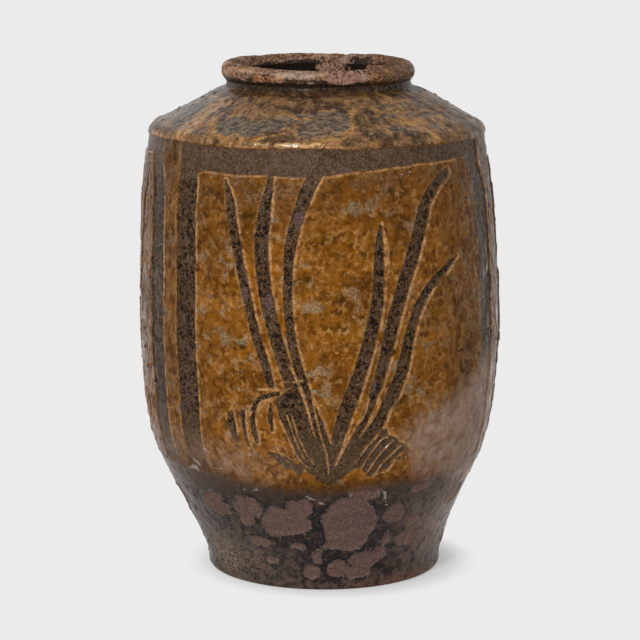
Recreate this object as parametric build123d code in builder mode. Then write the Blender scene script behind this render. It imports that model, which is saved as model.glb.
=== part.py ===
from build123d import *

import os
from math import cos, radians, sin, tan

# Glazed stoneware storage jar with an angular shoulder and a rolled lip.
# It is built as a potter builds it: a base slab, a stack of ring courses scarfed one on another,
# a conical shoulder thrown apart, a short neck collar and a rolled lip with a flake broken away.
# Two coils are pressed into the inner corners, where the wall meets the slab and the shoulder.
# Three framed panels of reeds are carved into the wall, across the courses.
# Lengths are millimetres and angles degrees. The axis is Z, and the jar stands on the plane z = 0.

# Base slab
foot_radius = 97.5
foot_edge_round = 4.5
slab_edge_height = 11.0

# Wall from the slab's edge to the belly line, and from there to the shoulder, on the outside
belly_radius = 148.5
belly_rise = 199.0
shoulder_radius = 138.5
upper_wall_rise = 148.0
foot_lean = 15.0
shoulder_lean = 7.0

# Where the seams between the courses lie, as shares of the rise and of the change in radius
lower_seam_shares = [(0.256, 0.395), (0.508, 0.818), (0.759, 0.959)]
upper_seam_shares = [(0.324, 0.13), (0.662, 0.40)]

# Thickness of the wall, slope of the scarf between courses and hollow that fingers leave inside
wall_thickness = 10.0
scarf_angle = 25.0
course_hollow = 1.0

# Carved panels, each framed by a band up both sides and across the top. Bearings run from the
# front, positive to the right, and the top band's depth is taken at the jar's left and right side.
carving_depth = 1.4
panel_foot_height = 102.0
panel_bearings = [(-41.2, 61.2), (86.0, 175.0), (203.0, 294.0)]
side_band_angle = 8.7
top_band_left_depth = 19.0
top_band_right_depth = 6.0

# Reeds of a panel from tip to root as (across, rise, half width), and the outline of their roots.
# Across and half width are shares of the belly's radius, rise of the height from foot to shoulder.
reed_shares = [
    [(-0.613, 0.915, 0.005), (-0.588, 0.79, 0.021), (-0.495, 0.455, 0.022), (-0.418, 0.297, 0.017)],
    [(-0.385, 0.958, 0.022), (-0.431, 0.833, 0.032), (-0.45, 0.62, 0.034), (-0.293, 0.263, 0.03)],
    [(-0.125, 0.984, 0.036), (-0.254, 0.833, 0.03), (-0.332, 0.534, 0.022), (-0.179, 0.163, 0.021)],
    [(0.165, 0.783, 0.005), (0.136, 0.56, 0.033), (0.041, 0.342, 0.037), (-0.074, 0.143, 0.037)],
    [(0.561, 0.928, 0.012), (0.397, 0.786, 0.035), (0.205, 0.454, 0.036), (0.021, 0.16, 0.021)],
    [(0.607, 0.669, 0.004), (0.366, 0.526, 0.026), (0.209, 0.248, 0.037), (0.046, 0.102, 0.032)],
]
root_shares = [
    (-0.388, 0.257), (-0.271, 0.065), (-0.156, 0.01), (0.03, 0.03), (0.208, 0.02),
    (0.31, 0.088), (0.129, 0.166), (-0.088, 0.114), (-0.191, 0.232), (-0.314, 0.294),
]

# Shoulder: a short upright edge with a rounded corner, then a cone up to the neck
shoulder_edge_rise = 10.0
shoulder_corner_round = 10.0
shoulder_rise = 28.5
shoulder_thickness = 9.0

# Neck collar: the throat is its bore, and its foot flares out to the cone
throat_radius = 64.5
throat_length = 14.0
neck_thickness = 11.0
neck_flare = 8.5
neck_rise = 14.5
neck_foot_round = 4.0
neck_bend_share = 0.4
neck_ridge_share = 0.4
neck_ridge_rise = 2.0

# Rolled lip: an oval coil folded over the ridge on top of the neck
lip_width = 15.2
lip_height = 18.0

# Flake broken from the lip, a shallow hollow as left by a knock
flake_depth = 3.0
flake_round = 150.0
flake_direction = -75.0

# Coils pressed into the inner corners: the leg in a square corner, where a wider corner spreads
# the same clay further, and how far towards the corner a finger has pressed the middle
coil_leg = 13.0
coil_hollow_share = 0.27


def between(low, high, share):
    """The value that lies a share of the way from low to high."""
    return low + share * (high - low)


def along_scarf(seam, distance):
    """The point on a seam's scarf that lies a radial distance inward of the outside."""
    return seam[0] - distance, seam[1] + distance * tan(radians(scarf_angle))


def wedge(left, right):
    """A wedge of the jar between two bearings, from the panels' foot to above the shoulder's seam."""
    with BuildPart() as made:
        with BuildSketch(Plane.XY.offset(panel_foot_height)):
            with BuildLine():
                Polyline(
                    (0, 0),
                    *[
                        (cut_reach * sin(radians(bearing)), -cut_reach * cos(radians(bearing)))
                        for bearing in (left, (left + right) / 2, right)
                    ],
                    close=True,
                )
            make_face()
        extrude(amount=edge_height - panel_foot_height)
    return made.part


def on_panel(across_share, rise_share):
    """A point of a panel's flat drawing, whose origin is the jar's axis at the foot."""
    return belly_radius * across_share, between(panel_foot_height, shoulder_height, rise_share)


def panel_carving(left, right, side):
    """The clay carved from one panel, with its reeds leaning as in front where side is 1."""
    facing = radians((left + right) / 2)
    front = Plane((0, 0, 0), x_dir=(cos(facing), sin(facing), 0), z_dir=(sin(facing), -cos(facing), 0))
    with BuildPart() as field:
        add(wedge(left, right))
        with BuildSketch(front):
            with BuildLine():
                Polyline(
                    (-side * belly_radius, 0),
                    (side * belly_radius, 0),
                    (side * belly_radius, shoulder_height - top_band_right_depth),
                    (-side * belly_radius, shoulder_height - top_band_left_depth),
                    close=True,
                )
            make_face()
        extrude(amount=cut_reach, mode=Mode.INTERSECT)
    with BuildPart() as carving:
        add(wedge(left - side_band_angle, right + side_band_angle))
        add(field.part, mode=Mode.SUBTRACT)
        with BuildSketch(front):
            for reed in reed_shares:
                edges = [
                    [on_panel(side * (across + way * half_width), rise) for across, rise, half_width in reed]
                    for way in (-1, 1)
                ]
                with BuildLine():
                    Spline(*edges[0])
                    Spline(*edges[1])
                    Line(edges[0][0], edges[1][0])
                    Line(edges[0][-1], edges[1][-1])
                make_face()
            with BuildLine():
                Polyline(*[on_panel(side * across, rise) for across, rise in root_shares], close=True)
            make_face()
        extrude(amount=cut_reach)
        add(wall_skin.part, mode=Mode.INTERSECT)
    return carving.part


def corner_coil(seam, next_seam, seat_end):
    """A coil of clay pressed into the corner at a seam, along the wall and towards seat_end."""
    corner = Vector(*along_scarf(seam, wall_thickness))
    wall_run = Vector(*along_scarf(next_seam, wall_thickness)) - corner
    seat_run = Vector(*seat_end) - corner
    leg = coil_leg / sin(radians(wall_run.get_angle(seat_run))) ** 0.5
    wall_edge = corner + wall_run.normalized() * leg
    seat_edge = corner + seat_run.normalized() * leg
    middle = (wall_edge + seat_edge) / 2
    pressed = middle + (corner - middle) * coil_hollow_share
    backing = wall_edge + Vector(wall_thickness / 2, 0)
    with BuildPart() as coil:
        with BuildSketch(Plane.XZ):
            with BuildLine():
                Polyline(seat_edge, corner, along_scarf(seam, wall_thickness / 2), backing, wall_edge)
                ThreePointArc(wall_edge, pressed, seat_edge)
            make_face()
            add(wall_section.sketch, mode=Mode.SUBTRACT)
        revolve(axis=Axis.Z)
    return coil


# The seams on the outside, as (radius, height), from the slab's edge up to the shoulder
belly_height = slab_edge_height + belly_rise
shoulder_height = belly_height + upper_wall_rise
seams = [(foot_radius, slab_edge_height)]
for rise_share, radius_share in lower_seam_shares:
    seam_radius = between(foot_radius, belly_radius, radius_share)
    seams.append((seam_radius, between(slab_edge_height, belly_height, rise_share)))
seams.append((belly_radius, belly_height))
for rise_share, radius_share in upper_seam_shares:
    seam_radius = between(belly_radius, shoulder_radius, radius_share)
    seams.append((seam_radius, between(belly_height, shoulder_height, rise_share)))
seams.append((shoulder_radius, shoulder_height))
inner_seams = [along_scarf(seam, wall_thickness) for seam in seams]

# Half section of the whole wall: one smooth outside, and an inside hollowed between the seams
with BuildSketch(Plane.XZ) as wall_section:
    with BuildLine():
        Spline(
            *seams,
            tangents=[
                (sin(radians(foot_lean)), cos(radians(foot_lean))),
                (-sin(radians(shoulder_lean)), cos(radians(shoulder_lean))),
            ],
        )
        Line(seams[-1], inner_seams[-1])
        for upper, lower in zip(inner_seams[:0:-1], inner_seams[-2::-1]):
            SagittaArc(upper, lower, course_hollow)
        Line(inner_seams[0], seams[0])
    make_face()

# Skin of the wall as deep as the carving, and how far the carving's drawings are run outwards
cut_reach = 2 * belly_radius
carved_seams = [along_scarf(seam, carving_depth) for seam in seams]
with BuildPart() as wall_skin:
    with BuildSketch(Plane.XZ):
        with BuildLine():
            for skin_seams in (seams, carved_seams):
                Spline(
                    *skin_seams,
                    tangents=[
                        (sin(radians(foot_lean)), cos(radians(foot_lean))),
                        (-sin(radians(shoulder_lean)), cos(radians(shoulder_lean))),
                    ],
                )
            Line(seams[0], carved_seams[0])
            Line(seams[-1], carved_seams[-1])
        make_face()
    revolve(axis=Axis.Z)

# Corners of the shoulder on the outside, and the square-cut seat that carries the neck
edge_radius = shoulder_radius - shoulder_edge_rise * tan(radians(shoulder_lean))
edge_height = shoulder_height + shoulder_edge_rise
neck_radius = throat_radius + neck_thickness
neck_foot_radius = neck_radius + neck_flare
neck_foot_height = edge_height + shoulder_rise
cone_run = edge_radius - neck_foot_radius
cone_length = (cone_run**2 + shoulder_rise**2) ** 0.5
neck_seat_inside = (
    neck_foot_radius - shoulder_thickness * shoulder_rise / cone_length,
    neck_foot_height - shoulder_thickness * cone_run / cone_length,
)

# Centre of the rolled lip, and the quirk where it meets the outside of the neck
lip_centre_radius = throat_radius + lip_width / 2
lip_centre_height = neck_foot_height + neck_rise
quirk_share = (neck_radius - lip_centre_radius) / (lip_width / 2)
quirk_height = lip_centre_height - lip_height / 2 * (1 - quirk_share**2) ** 0.5

# Half section of the neck collar, with the ridge that the lip is folded over
with BuildSketch(Plane.XZ) as neck_section:
    with BuildLine():
        FilletPolyline(
            (neck_foot_radius, neck_foot_height),
            (neck_radius, between(neck_foot_height, quirk_height, neck_bend_share)),
            (neck_radius, quirk_height),
            radius=neck_foot_round,
        )
        Polyline(
            (neck_radius, quirk_height),
            (between(neck_radius, throat_radius, neck_ridge_share), lip_centre_height + neck_ridge_rise),
            (throat_radius, lip_centre_height),
            (throat_radius, lip_centre_height - throat_length),
            neck_seat_inside,
            (neck_foot_radius, neck_foot_height),
        )
    make_face()

os.makedirs("parts", exist_ok=True)

# Base slab, whose bevelled rim carries the first course
with BuildPart() as base_slab:
    with BuildSketch(Plane.XZ):
        with BuildLine():
            Polyline(
                (0, 0),
                (foot_radius, 0),
                seams[0],
                inner_seams[0],
                (0, inner_seams[0][1]),
                close=True,
            )
        make_face()
    revolve(axis=Axis.Z)
    fillet(base_slab.edges().group_by(Axis.Z)[0], foot_edge_round)
base_slab.part.label = "base_slab"
export_step(base_slab.part, "parts/base_slab.step")

# What is carved from the three panels; the two that don't face the front are turned over
panel_carvings = [
    panel_carving(*bearings, side)
    for bearings, side in zip(panel_bearings, (1, -1, -1))
]

# Wall courses, numbered from the foot to the shoulder, each cut from the wall along its two scarfs
for number, (lower, upper) in enumerate(zip(seams, seams[1:]), start=1):
    with BuildPart() as wall_course:
        with BuildSketch(Plane.XZ):
            with BuildLine():
                Polyline(
                    along_scarf(lower, -wall_thickness),
                    along_scarf(lower, 2 * wall_thickness),
                    along_scarf(upper, 2 * wall_thickness),
                    along_scarf(upper, -wall_thickness),
                    close=True,
                )
            make_face()
            add(wall_section.sketch, mode=Mode.INTERSECT)
        revolve(axis=Axis.Z)
        add(panel_carvings, mode=Mode.SUBTRACT)
    wall_course.part.label = f"wall_course_{number}"
    export_step(wall_course.part, f"parts/wall_course_{number}.step")

# Shoulder cone, with its rounded outer corner
with BuildPart() as shoulder_cone:
    with BuildSketch(Plane.XZ):
        with BuildLine():
            FilletPolyline(
                seams[-1],
                (edge_radius, edge_height),
                (neck_foot_radius, neck_foot_height),
                radius=shoulder_corner_round,
            )
            Polyline(
                (neck_foot_radius, neck_foot_height),
                neck_seat_inside,
                inner_seams[-1],
                seams[-1],
            )
        make_face()
    revolve(axis=Axis.Z)
shoulder_cone.part.label = "shoulder_cone"
export_step(shoulder_cone.part, "parts/shoulder_cone.step")

# Neck collar
with BuildPart() as neck_collar:
    add(neck_section.sketch)
    revolve(axis=Axis.Z)
neck_collar.part.label = "neck_collar"
export_step(neck_collar.part, "parts/neck_collar.step")

# Rolled lip, folded over the neck's ridge, with the flake knocked out of its outer face
flake_distance = lip_centre_radius + lip_width / 2 - flake_depth + flake_round
flake_centre = (
    flake_distance * cos(radians(flake_direction)),
    flake_distance * sin(radians(flake_direction)),
    lip_centre_height,
)
with BuildPart() as rolled_lip:
    with BuildSketch(Plane.XZ):
        with Locations((lip_centre_radius, lip_centre_height)):
            Ellipse(lip_width / 2, lip_height / 2)
        add(neck_section.sketch, mode=Mode.SUBTRACT)
    revolve(axis=Axis.Z)
    with Locations(flake_centre):
        Sphere(flake_round, mode=Mode.SUBTRACT)
rolled_lip.part.label = "rolled_lip"
export_step(rolled_lip.part, "parts/rolled_lip.step")

# Coils pressed into the inner corners, on the slab and under the shoulder
base_coil = corner_coil(seams[0], seams[1], (0, inner_seams[0][1]))
base_coil.part.label = "base_coil"
export_step(base_coil.part, "parts/base_coil.step")

shoulder_coil = corner_coil(seams[-1], seams[-2], neck_seat_inside)
shoulder_coil.part.label = "shoulder_coil"
export_step(shoulder_coil.part, "parts/shoulder_coil.step")
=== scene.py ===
"""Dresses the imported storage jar: its carved, glazed surface, the stage around it and the camera."""

import functools
import math

import bpy
import numpy as np
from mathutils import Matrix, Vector


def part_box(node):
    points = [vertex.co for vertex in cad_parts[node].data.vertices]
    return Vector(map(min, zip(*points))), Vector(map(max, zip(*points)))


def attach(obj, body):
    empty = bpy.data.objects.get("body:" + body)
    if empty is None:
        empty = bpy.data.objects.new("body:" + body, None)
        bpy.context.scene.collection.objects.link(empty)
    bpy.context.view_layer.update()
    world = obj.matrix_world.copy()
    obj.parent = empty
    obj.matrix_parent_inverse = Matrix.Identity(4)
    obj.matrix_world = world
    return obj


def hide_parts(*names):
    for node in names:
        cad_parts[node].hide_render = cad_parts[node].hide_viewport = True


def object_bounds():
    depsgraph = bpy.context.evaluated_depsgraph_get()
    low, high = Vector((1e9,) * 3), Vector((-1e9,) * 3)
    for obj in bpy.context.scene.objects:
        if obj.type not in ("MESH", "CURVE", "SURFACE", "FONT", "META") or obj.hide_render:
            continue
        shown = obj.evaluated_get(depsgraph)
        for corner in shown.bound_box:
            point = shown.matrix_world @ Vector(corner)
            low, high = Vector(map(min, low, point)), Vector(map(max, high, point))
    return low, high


bl_info = {
    "name": "Carved storage jar",
    "version": (1, 0, 0),
    "blender": (4, 5, 0),
    "location": "3D View > Sidebar > Jar",
    "description": "Dresses a packed storage jar with carved, glazed stoneware and sets its stage",
    "category": "Object",
}

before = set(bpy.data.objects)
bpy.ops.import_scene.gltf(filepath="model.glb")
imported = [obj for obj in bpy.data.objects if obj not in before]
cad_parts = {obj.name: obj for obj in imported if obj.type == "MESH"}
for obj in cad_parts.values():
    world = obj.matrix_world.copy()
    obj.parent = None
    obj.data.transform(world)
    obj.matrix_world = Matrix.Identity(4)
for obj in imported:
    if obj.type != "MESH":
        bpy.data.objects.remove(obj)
CAD_LOW, CAD_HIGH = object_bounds()

# Units, counts and the grain of the surface's grid
MM = 0.001
TURN = 2 * math.pi
COURSES = 7
COLUMNS = 1024
COIL_COLUMNS = 256
ROW_STEP = 0.82 * MM
LIP_ROW_STEP = 0.7 * MM

# Distance, in millimetres, of a place that a stroke or patch doesn't reach
FAR_OFF = 99.0

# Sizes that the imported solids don't give by their boxes
WALL = 10.0 * MM
SLAB_ROUND = 4.5 * MM
COURSE_HOLLOW = 1.0 * MM
FOOT_LEAN = math.radians(15.0)
SHOULDER_LEAN = math.radians(-7.0)
SHOULDER_EDGE_RISE = 10.0 * MM
SHOULDER_CORNER_ROUND = 10.0 * MM
THROAT_RADIUS = 64.5 * MM
THROAT_LENGTH = 14.0 * MM
NECK_THICKNESS = 11.0 * MM
NECK_FOOT_ROUND = 4.0 * MM
NECK_BEND_SHARE = 0.4
NECK_RIDGE_SHARE = 0.4
NECK_RIDGE_RISE = 2.0 * MM
LIP_WIDTH = 15.2 * MM
LIP_HEIGHT = 18.0 * MM
COIL_LEG = 13.0 * MM
COIL_HOLLOW_SHARE = 0.27

# The flake broken from the lip, in degrees and millimetres
FLAKE_BEARING = 15.0
FLAKE_ROUND = 150.0
FLAKE_DEPTH = 3.0

# The photograph's frame and the camera that was fitted to it
FRAME_PIXELS = 640
SENSOR = 36.0
CAMERA_DISTANCE = 2.1
CAMERA_HEIGHT = 0.588
CAMERA_PITCH = math.radians(10.36)
CAMERA_LENS = 145.0

# How far the jar's sections stand to the side of its axis, as (height, offset) in millimetres
LEAN = [(0, 3.4), (20, 3.2), (44, 1.0), (68, 0.3), (110, -0.3), (190, 0.0), (240, -0.4),
        (280, -1.4), (320, -2.4), (362, -2.7), (388, -0.4), (404, -1.2), (420, -2.0)]


def between(low, high, share):
    return low + share * (high - low)


def ramp(value, low, high):
    """A smooth rise from 0 at low to 1 at high."""
    share = np.clip((np.asarray(value, float) - low) / (high - low), 0, 1)
    return share * share * (3 - 2 * share)


# Outline of the jar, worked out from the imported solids

def half_width(node):
    low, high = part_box(node)
    return max(high.x - low.x, high.y - low.y) / 2


def seam_places():
    """The seams on the outside, as (radius, height), from the slab's edge to the shoulder."""
    courses = [f"wall_course_{number}" for number in range(1, COURSES + 1)]
    widths = [half_width(node) for node in courses]
    heights = [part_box(node)[0].z for node in courses]
    seams = [(half_width("base_slab"), heights[0])]
    seams += [(min(widths[i - 1], widths[i]), heights[i]) for i in range(1, COURSES)]
    seams.append((half_width("shoulder_cone"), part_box("shoulder_cone")[0].z))
    return seams


def smooth_curve(points, start_lean, end_lean, count=80):
    """A cubic spline through points with its end slopes given as angles from upright."""
    points = np.array(points)
    steps = np.hypot(*np.diff(points, axis=0).T)
    size = len(points)
    matrix = np.zeros((size, size))
    right = np.zeros((size, 2))
    matrix[0, 0] = matrix[-1, -1] = 1
    right[0] = math.sin(start_lean), math.cos(start_lean)
    right[-1] = math.sin(end_lean), math.cos(end_lean)
    for i in range(1, size - 1):
        before, after = steps[i - 1], steps[i]
        matrix[i, i - 1:i + 2] = after, 2 * (before + after), before
        rise = (points[i + 1] - points[i]) / after * before
        fall = (points[i] - points[i - 1]) / before * after
        right[i] = 3 * (rise + fall)
    slopes = np.linalg.solve(matrix, right)
    pieces = []
    for i, step in enumerate(steps):
        share = np.linspace(0, 1, count, endpoint=False)[:, None]
        pieces.append(
            (2 * share**3 - 3 * share**2 + 1) * points[i]
            + (share**3 - 2 * share**2 + share) * step * slopes[i]
            + (3 * share**2 - 2 * share**3) * points[i + 1]
            + (share**3 - share**2) * step * slopes[i + 1]
        )
    pieces.append(points[-1:])
    return np.concatenate(pieces), count


def even(points, step=ROW_STEP, count=None):
    """Points at even distances along a line of points, with both ends kept."""
    points = np.asarray(points, float)
    run = np.concatenate([[0], np.cumsum(np.hypot(*np.diff(points, axis=0).T))])
    count = count or max(1, round(run[-1] / step))
    places = np.linspace(0, run[-1], count + 1)
    return np.column_stack([np.interp(places, run, points[:, axis]) for axis in (0, 1)])


def rounded(before, corner, after, radius, count=16):
    """The points of an arc of a radius in the corner between two straight runs."""
    before, corner, after = (np.array(point) for point in (before, corner, after))
    back = (before - corner) / np.linalg.norm(before - corner)
    ahead = (after - corner) / np.linalg.norm(after - corner)
    half = math.acos(np.dot(back, ahead)) / 2
    reach = radius / math.tan(half)
    middle = (back + ahead) / np.linalg.norm(back + ahead)
    centre = corner + middle * radius / math.sin(half)
    start = corner + back * reach - centre
    end = corner + ahead * reach - centre
    turn = math.pi - 2 * half
    side = np.sign(start[0] * end[1] - start[1] * end[0])
    angles = np.linspace(0, turn, count + 1) * side
    return np.array([
        centre + (start[0] * math.cos(a) - start[1] * math.sin(a),
                  start[0] * math.sin(a) + start[1] * math.cos(a))
        for a in angles
    ])


SEAMS = seam_places()
SCARF_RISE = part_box("wall_course_1")[1].z - SEAMS[1][1]
INNER_SEAMS = [(radius - WALL, height + SCARF_RISE) for radius, height in SEAMS]
EDGE = (SEAMS[-1][0] + SHOULDER_EDGE_RISE * math.tan(SHOULDER_LEAN), SEAMS[-1][1] + SHOULDER_EDGE_RISE)
NECK_FOOT = (half_width("neck_collar"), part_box("shoulder_cone")[1].z)
NECK_SEAT_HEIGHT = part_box("neck_collar")[0].z
CONE_SLOPE = (NECK_FOOT[1] - EDGE[1]) / (EDGE[0] - NECK_FOOT[0])
NECK_SEAT = (NECK_FOOT[0] - (NECK_FOOT[1] - NECK_SEAT_HEIGHT) * CONE_SLOPE, NECK_SEAT_HEIGHT)
LIP_CENTRE = (THROAT_RADIUS + LIP_WIDTH / 2, CAD_HIGH.z - LIP_HEIGHT / 2)
NECK_RADIUS = THROAT_RADIUS + NECK_THICKNESS


def lip_point(angle):
    """A point of the lip's oval section, with the angle from straight outwards, upwards positive."""
    return (
        LIP_CENTRE[0] + LIP_WIDTH / 2 * math.cos(angle),
        LIP_CENTRE[1] + LIP_HEIGHT / 2 * math.sin(angle),
    )


QUIRK_ANGLE = -math.acos((NECK_RADIUS - LIP_CENTRE[0]) / (LIP_WIDTH / 2))
QUIRK = lip_point(QUIRK_ANGLE)
NECK_RIDGE = (between(NECK_RADIUS, THROAT_RADIUS, NECK_RIDGE_SHARE), LIP_CENTRE[1] + NECK_RIDGE_RISE)


def outer_stretches():
    """The outside from the slab's bottom edge to the lip's inner side, one stretch a node."""
    foot = (SEAMS[0][0], 0)
    slab = np.concatenate([rounded((0, 0), foot, SEAMS[0], SLAB_ROUND), [SEAMS[0]]])
    wall, count = smooth_curve(SEAMS, FOOT_LEAN, SHOULDER_LEAN)
    courses = [wall[i * count:(i + 1) * count + 1] for i in range(COURSES)]
    corner = rounded(SEAMS[-1], EDGE, NECK_FOOT, SHOULDER_CORNER_ROUND)
    shoulder = np.concatenate([[SEAMS[-1]], corner, [NECK_FOOT]])
    neck_bend = (NECK_RADIUS, between(NECK_FOOT[1], QUIRK[1], NECK_BEND_SHARE))
    neck_curve = rounded(NECK_FOOT, neck_bend, QUIRK, NECK_FOOT_ROUND)
    neck = np.concatenate([[NECK_FOOT], neck_curve, [QUIRK]])
    lip = np.array([lip_point(angle) for angle in np.linspace(QUIRK_ANGLE, math.pi, 96)])
    return [slab, *courses, shoulder, neck, lip]


STRETCH_NODES = ["base_slab", *[f"wall_course_{n}" for n in range(1, COURSES + 1)],
                 "shoulder_cone", "neck_collar", "rolled_lip"]
STRETCHES = {}
outer_points = []
for node_name, stretch in zip(STRETCH_NODES, outer_stretches()):
    rows = even(stretch, LIP_ROW_STEP if node_name == "rolled_lip" else ROW_STEP)
    start_row = max(0, len(outer_points) - 1)
    outer_points += list(rows[1:] if outer_points else rows)
    STRETCHES[node_name] = (start_row, len(outer_points) - 1)
OUTER = np.array(outer_points)
ROWS = len(OUTER)
RADIUS = OUTER[:, 0] / MM
HEIGHT = OUTER[:, 1] / MM
RUN = np.concatenate([[0], np.cumsum(np.hypot(*np.diff(OUTER, axis=0).T))]) / MM
TANGENT = np.gradient(OUTER, axis=0)
TANGENT /= np.linalg.norm(TANGENT, axis=1)[:, None]
OUTWARD = np.column_stack([TANGENT[:, 1], -TANGENT[:, 0]])
TOP_ROW = int(np.argmax(HEIGHT))

# Bearings run from the front, positive to the right, in degrees
BEARING = (np.degrees(np.arange(COLUMNS) * TURN / COLUMNS) + 90 + 180) % 360 - 180


def lean(height):
    """Offset of the jar's section at a height, both in metres."""
    heights, offsets = zip(*LEAN)
    return np.interp(height / MM, heights, offsets) * MM


def solid_points():
    """Every point of the outer surface's grid in millimetres, rows by columns."""
    angle = np.radians(BEARING - 90)[None, :]
    x = RADIUS[:, None] * np.cos(angle)
    y = RADIUS[:, None] * np.sin(angle)
    z = np.broadcast_to(HEIGHT[:, None], x.shape)
    return np.stack([x, y, z], axis=-1)


POINTS = solid_points()


def solid_noise(cell, seed, stretch=(1, 1, 1)):
    """Smooth noise over the surface from 0 to 1, with features of a size in millimetres."""
    size = 64
    table = np.random.default_rng(seed).random((size, size, size))
    place = POINTS / (cell * np.array(stretch)) + 1000.0
    base = np.floor(place).astype(int)
    share = place - base
    share = share * share * (3 - 2 * share)
    low, high = base % size, (base + 1) % size
    total = 0
    for corner in range(8):
        pick = [(corner >> axis) & 1 for axis in range(3)]
        weight = 1
        index = []
        for axis in range(3):
            weight = weight * (share[..., axis] if pick[axis] else 1 - share[..., axis])
            index.append(high[..., axis] if pick[axis] else low[..., axis])
        total = total + weight * table[index[0], index[1], index[2]]
    return total


def rough_noise(cell, seed, octaves=3):
    """Noise of several sizes, each half of the one before, about 0 to 1."""
    total, weight, whole = 0, 1.0, 0
    for octave in range(octaves):
        total = total + weight * solid_noise(cell / 2**octave, seed + octave)
        whole += weight
        weight *= 0.55
    return total / whole


def unevenness(depth, cell, seed, octaves=3):
    """Unevenness of a depth in millimetres, as much up as down."""
    return (rough_noise(cell, seed, octaves) - 0.5) * depth


# The photograph's pixels on the jar's surface

def surface_place(x, y):
    """(bearing, run along the outline in millimetres) of the surface seen at a pixel."""
    reach = FRAME_PIXELS / SENSOR * CAMERA_LENS
    across = (x - FRAME_PIXELS / 2) / reach
    up = (FRAME_PIXELS / 2 - y) / reach
    cos, sin = math.cos(CAMERA_PITCH), math.sin(CAMERA_PITCH)
    ray = np.array([across, cos + up * sin, -sin + up * cos])
    heights, radii = HEIGHT[:TOP_ROW + 1], RADIUS[:TOP_ROW + 1]

    def outside(distance):
        place = ray * distance + (0, -CAMERA_DISTANCE, CAMERA_HEIGHT)
        side = math.hypot(place[0] - lean(place[2]), place[1]) / MM
        return side - np.interp(place[2] / MM, heights, radii)

    far = CAMERA_DISTANCE / ray[1]
    near = far * 0.9
    for _ in range(40):
        middle = (near + far) / 2
        if outside(middle) > 0:
            near = middle
        else:
            far = middle
    place = ray * far + (0, -CAMERA_DISTANCE, CAMERA_HEIGHT)
    bearing = math.degrees(math.atan2(place[0] - lean(place[2]), -place[1]))
    return bearing, float(np.interp(place[2] / MM, heights, RUN[:TOP_ROW + 1]))


def inner_run(height):
    """Run along the outline to the lip's inner side at a height in millimetres."""
    return float(np.interp(-height, -HEIGHT[TOP_ROW:], RUN[TOP_ROW:]))


def smooth_path(points, parts=6):
    """A path through points rounded between them."""
    points = np.array(points, float)
    padded = np.concatenate([[2 * points[0] - points[1]], points, [2 * points[-1] - points[-2]]])
    out = []
    for p0, p1, p2, p3 in zip(padded, padded[1:], padded[2:], padded[3:]):
        for share in np.arange(parts) / parts:
            out.append(0.5 * (2 * p1 + (p2 - p0) * share + (2 * p0 - 5 * p1 + 4 * p2 - p3) * share**2
                              + (3 * p1 - p0 - 3 * p2 + p3) * share**3))
    out.append(points[-1])
    return np.array(out)


# Carved leaves of the front panel, each as (x, y, width) in the photograph's pixels
LEAVES = {
    "leaf_a": [(225, 180, 2), (229, 200, 8), (232, 222, 9), (237, 253, 9), (245, 292, 9),
               (255, 334, 9), (263, 359, 9), (271, 386, 7)],
    "leaf_b": [(272, 166, 6), (269, 186, 7), (265, 208, 12), (261, 243, 14), (263, 281, 14),
               (269, 312, 14), (277, 342, 13), (287, 374, 13), (296, 398, 12)],
    "leaf_c": [(324, 160, 14), (309, 187, 14), (300, 211, 12), (292, 238, 12), (288, 269, 10),
               (288, 310, 9), (292, 344, 9), (300, 374, 9), (310, 407, 9), (318, 430, 8)],
    "leaf_d": [(381, 226, 2), (379.5, 243, 8), (379, 268, 10), (378, 300, 12), (372, 332, 13),
               (361, 372, 14), (348, 408, 15), (339, 436, 13), (333, 462, 9)],
    "leaf_e": [(447, 172, 6), (437, 184, 8), (427, 201, 10), (422, 222, 12), (413, 258, 13),
               (402, 292, 13), (391, 334, 13), (382, 372, 11), (371, 404, 9), (360, 430, 9),
               (347, 456, 8)],
    "leaf_f": [(457, 256, 1), (447, 268, 5), (433, 284, 7), (419, 308, 9), (410, 338, 10),
               (403, 370, 12), (391, 400, 13), (377, 426, 12), (362, 448, 14), (350, 468, 8)],
    "root_left": [(269, 454, 5), (282, 461, 10), (298, 471, 9)],
    "root_arch": [(278, 394, 4), (268, 396, 5), (258, 400, 5), (253, 410, 5), (252, 421, 5),
                  (254, 434, 6), (257, 443, 3)],
    "root_finger_a": [(270.5, 404, 3), (270, 416, 5), (271.5, 431, 3)],
    "root_finger_b": [(277, 400, 4), (282, 416, 6), (291, 433, 7), (296, 451, 7)],
    "root_finger_c": [(242, 411, 5), (243, 426, 4), (247.5, 446, 3)],
    "root_finger_d": [(230, 413, 5), (231, 426, 8), (236, 441, 4)],
}

# Outline of the dark root mass below the leaves
ROOT_MASS = [(277, 399), (281, 421), (289, 440), (299, 460), (307, 472), (318, 482), (330, 486),
             (343, 480), (352, 470), (362, 468), (371, 477), (376, 474), (383, 470), (390, 470),
             (392, 462), (400, 460), (401, 452), (409, 446), (399, 443), (397, 438), (389, 436),
             (388, 430), (378, 430), (364, 431), (350, 444), (338, 447), (331.4, 444.4), (324, 425),
             (316, 408), (304, 392), (292, 388)]

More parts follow.
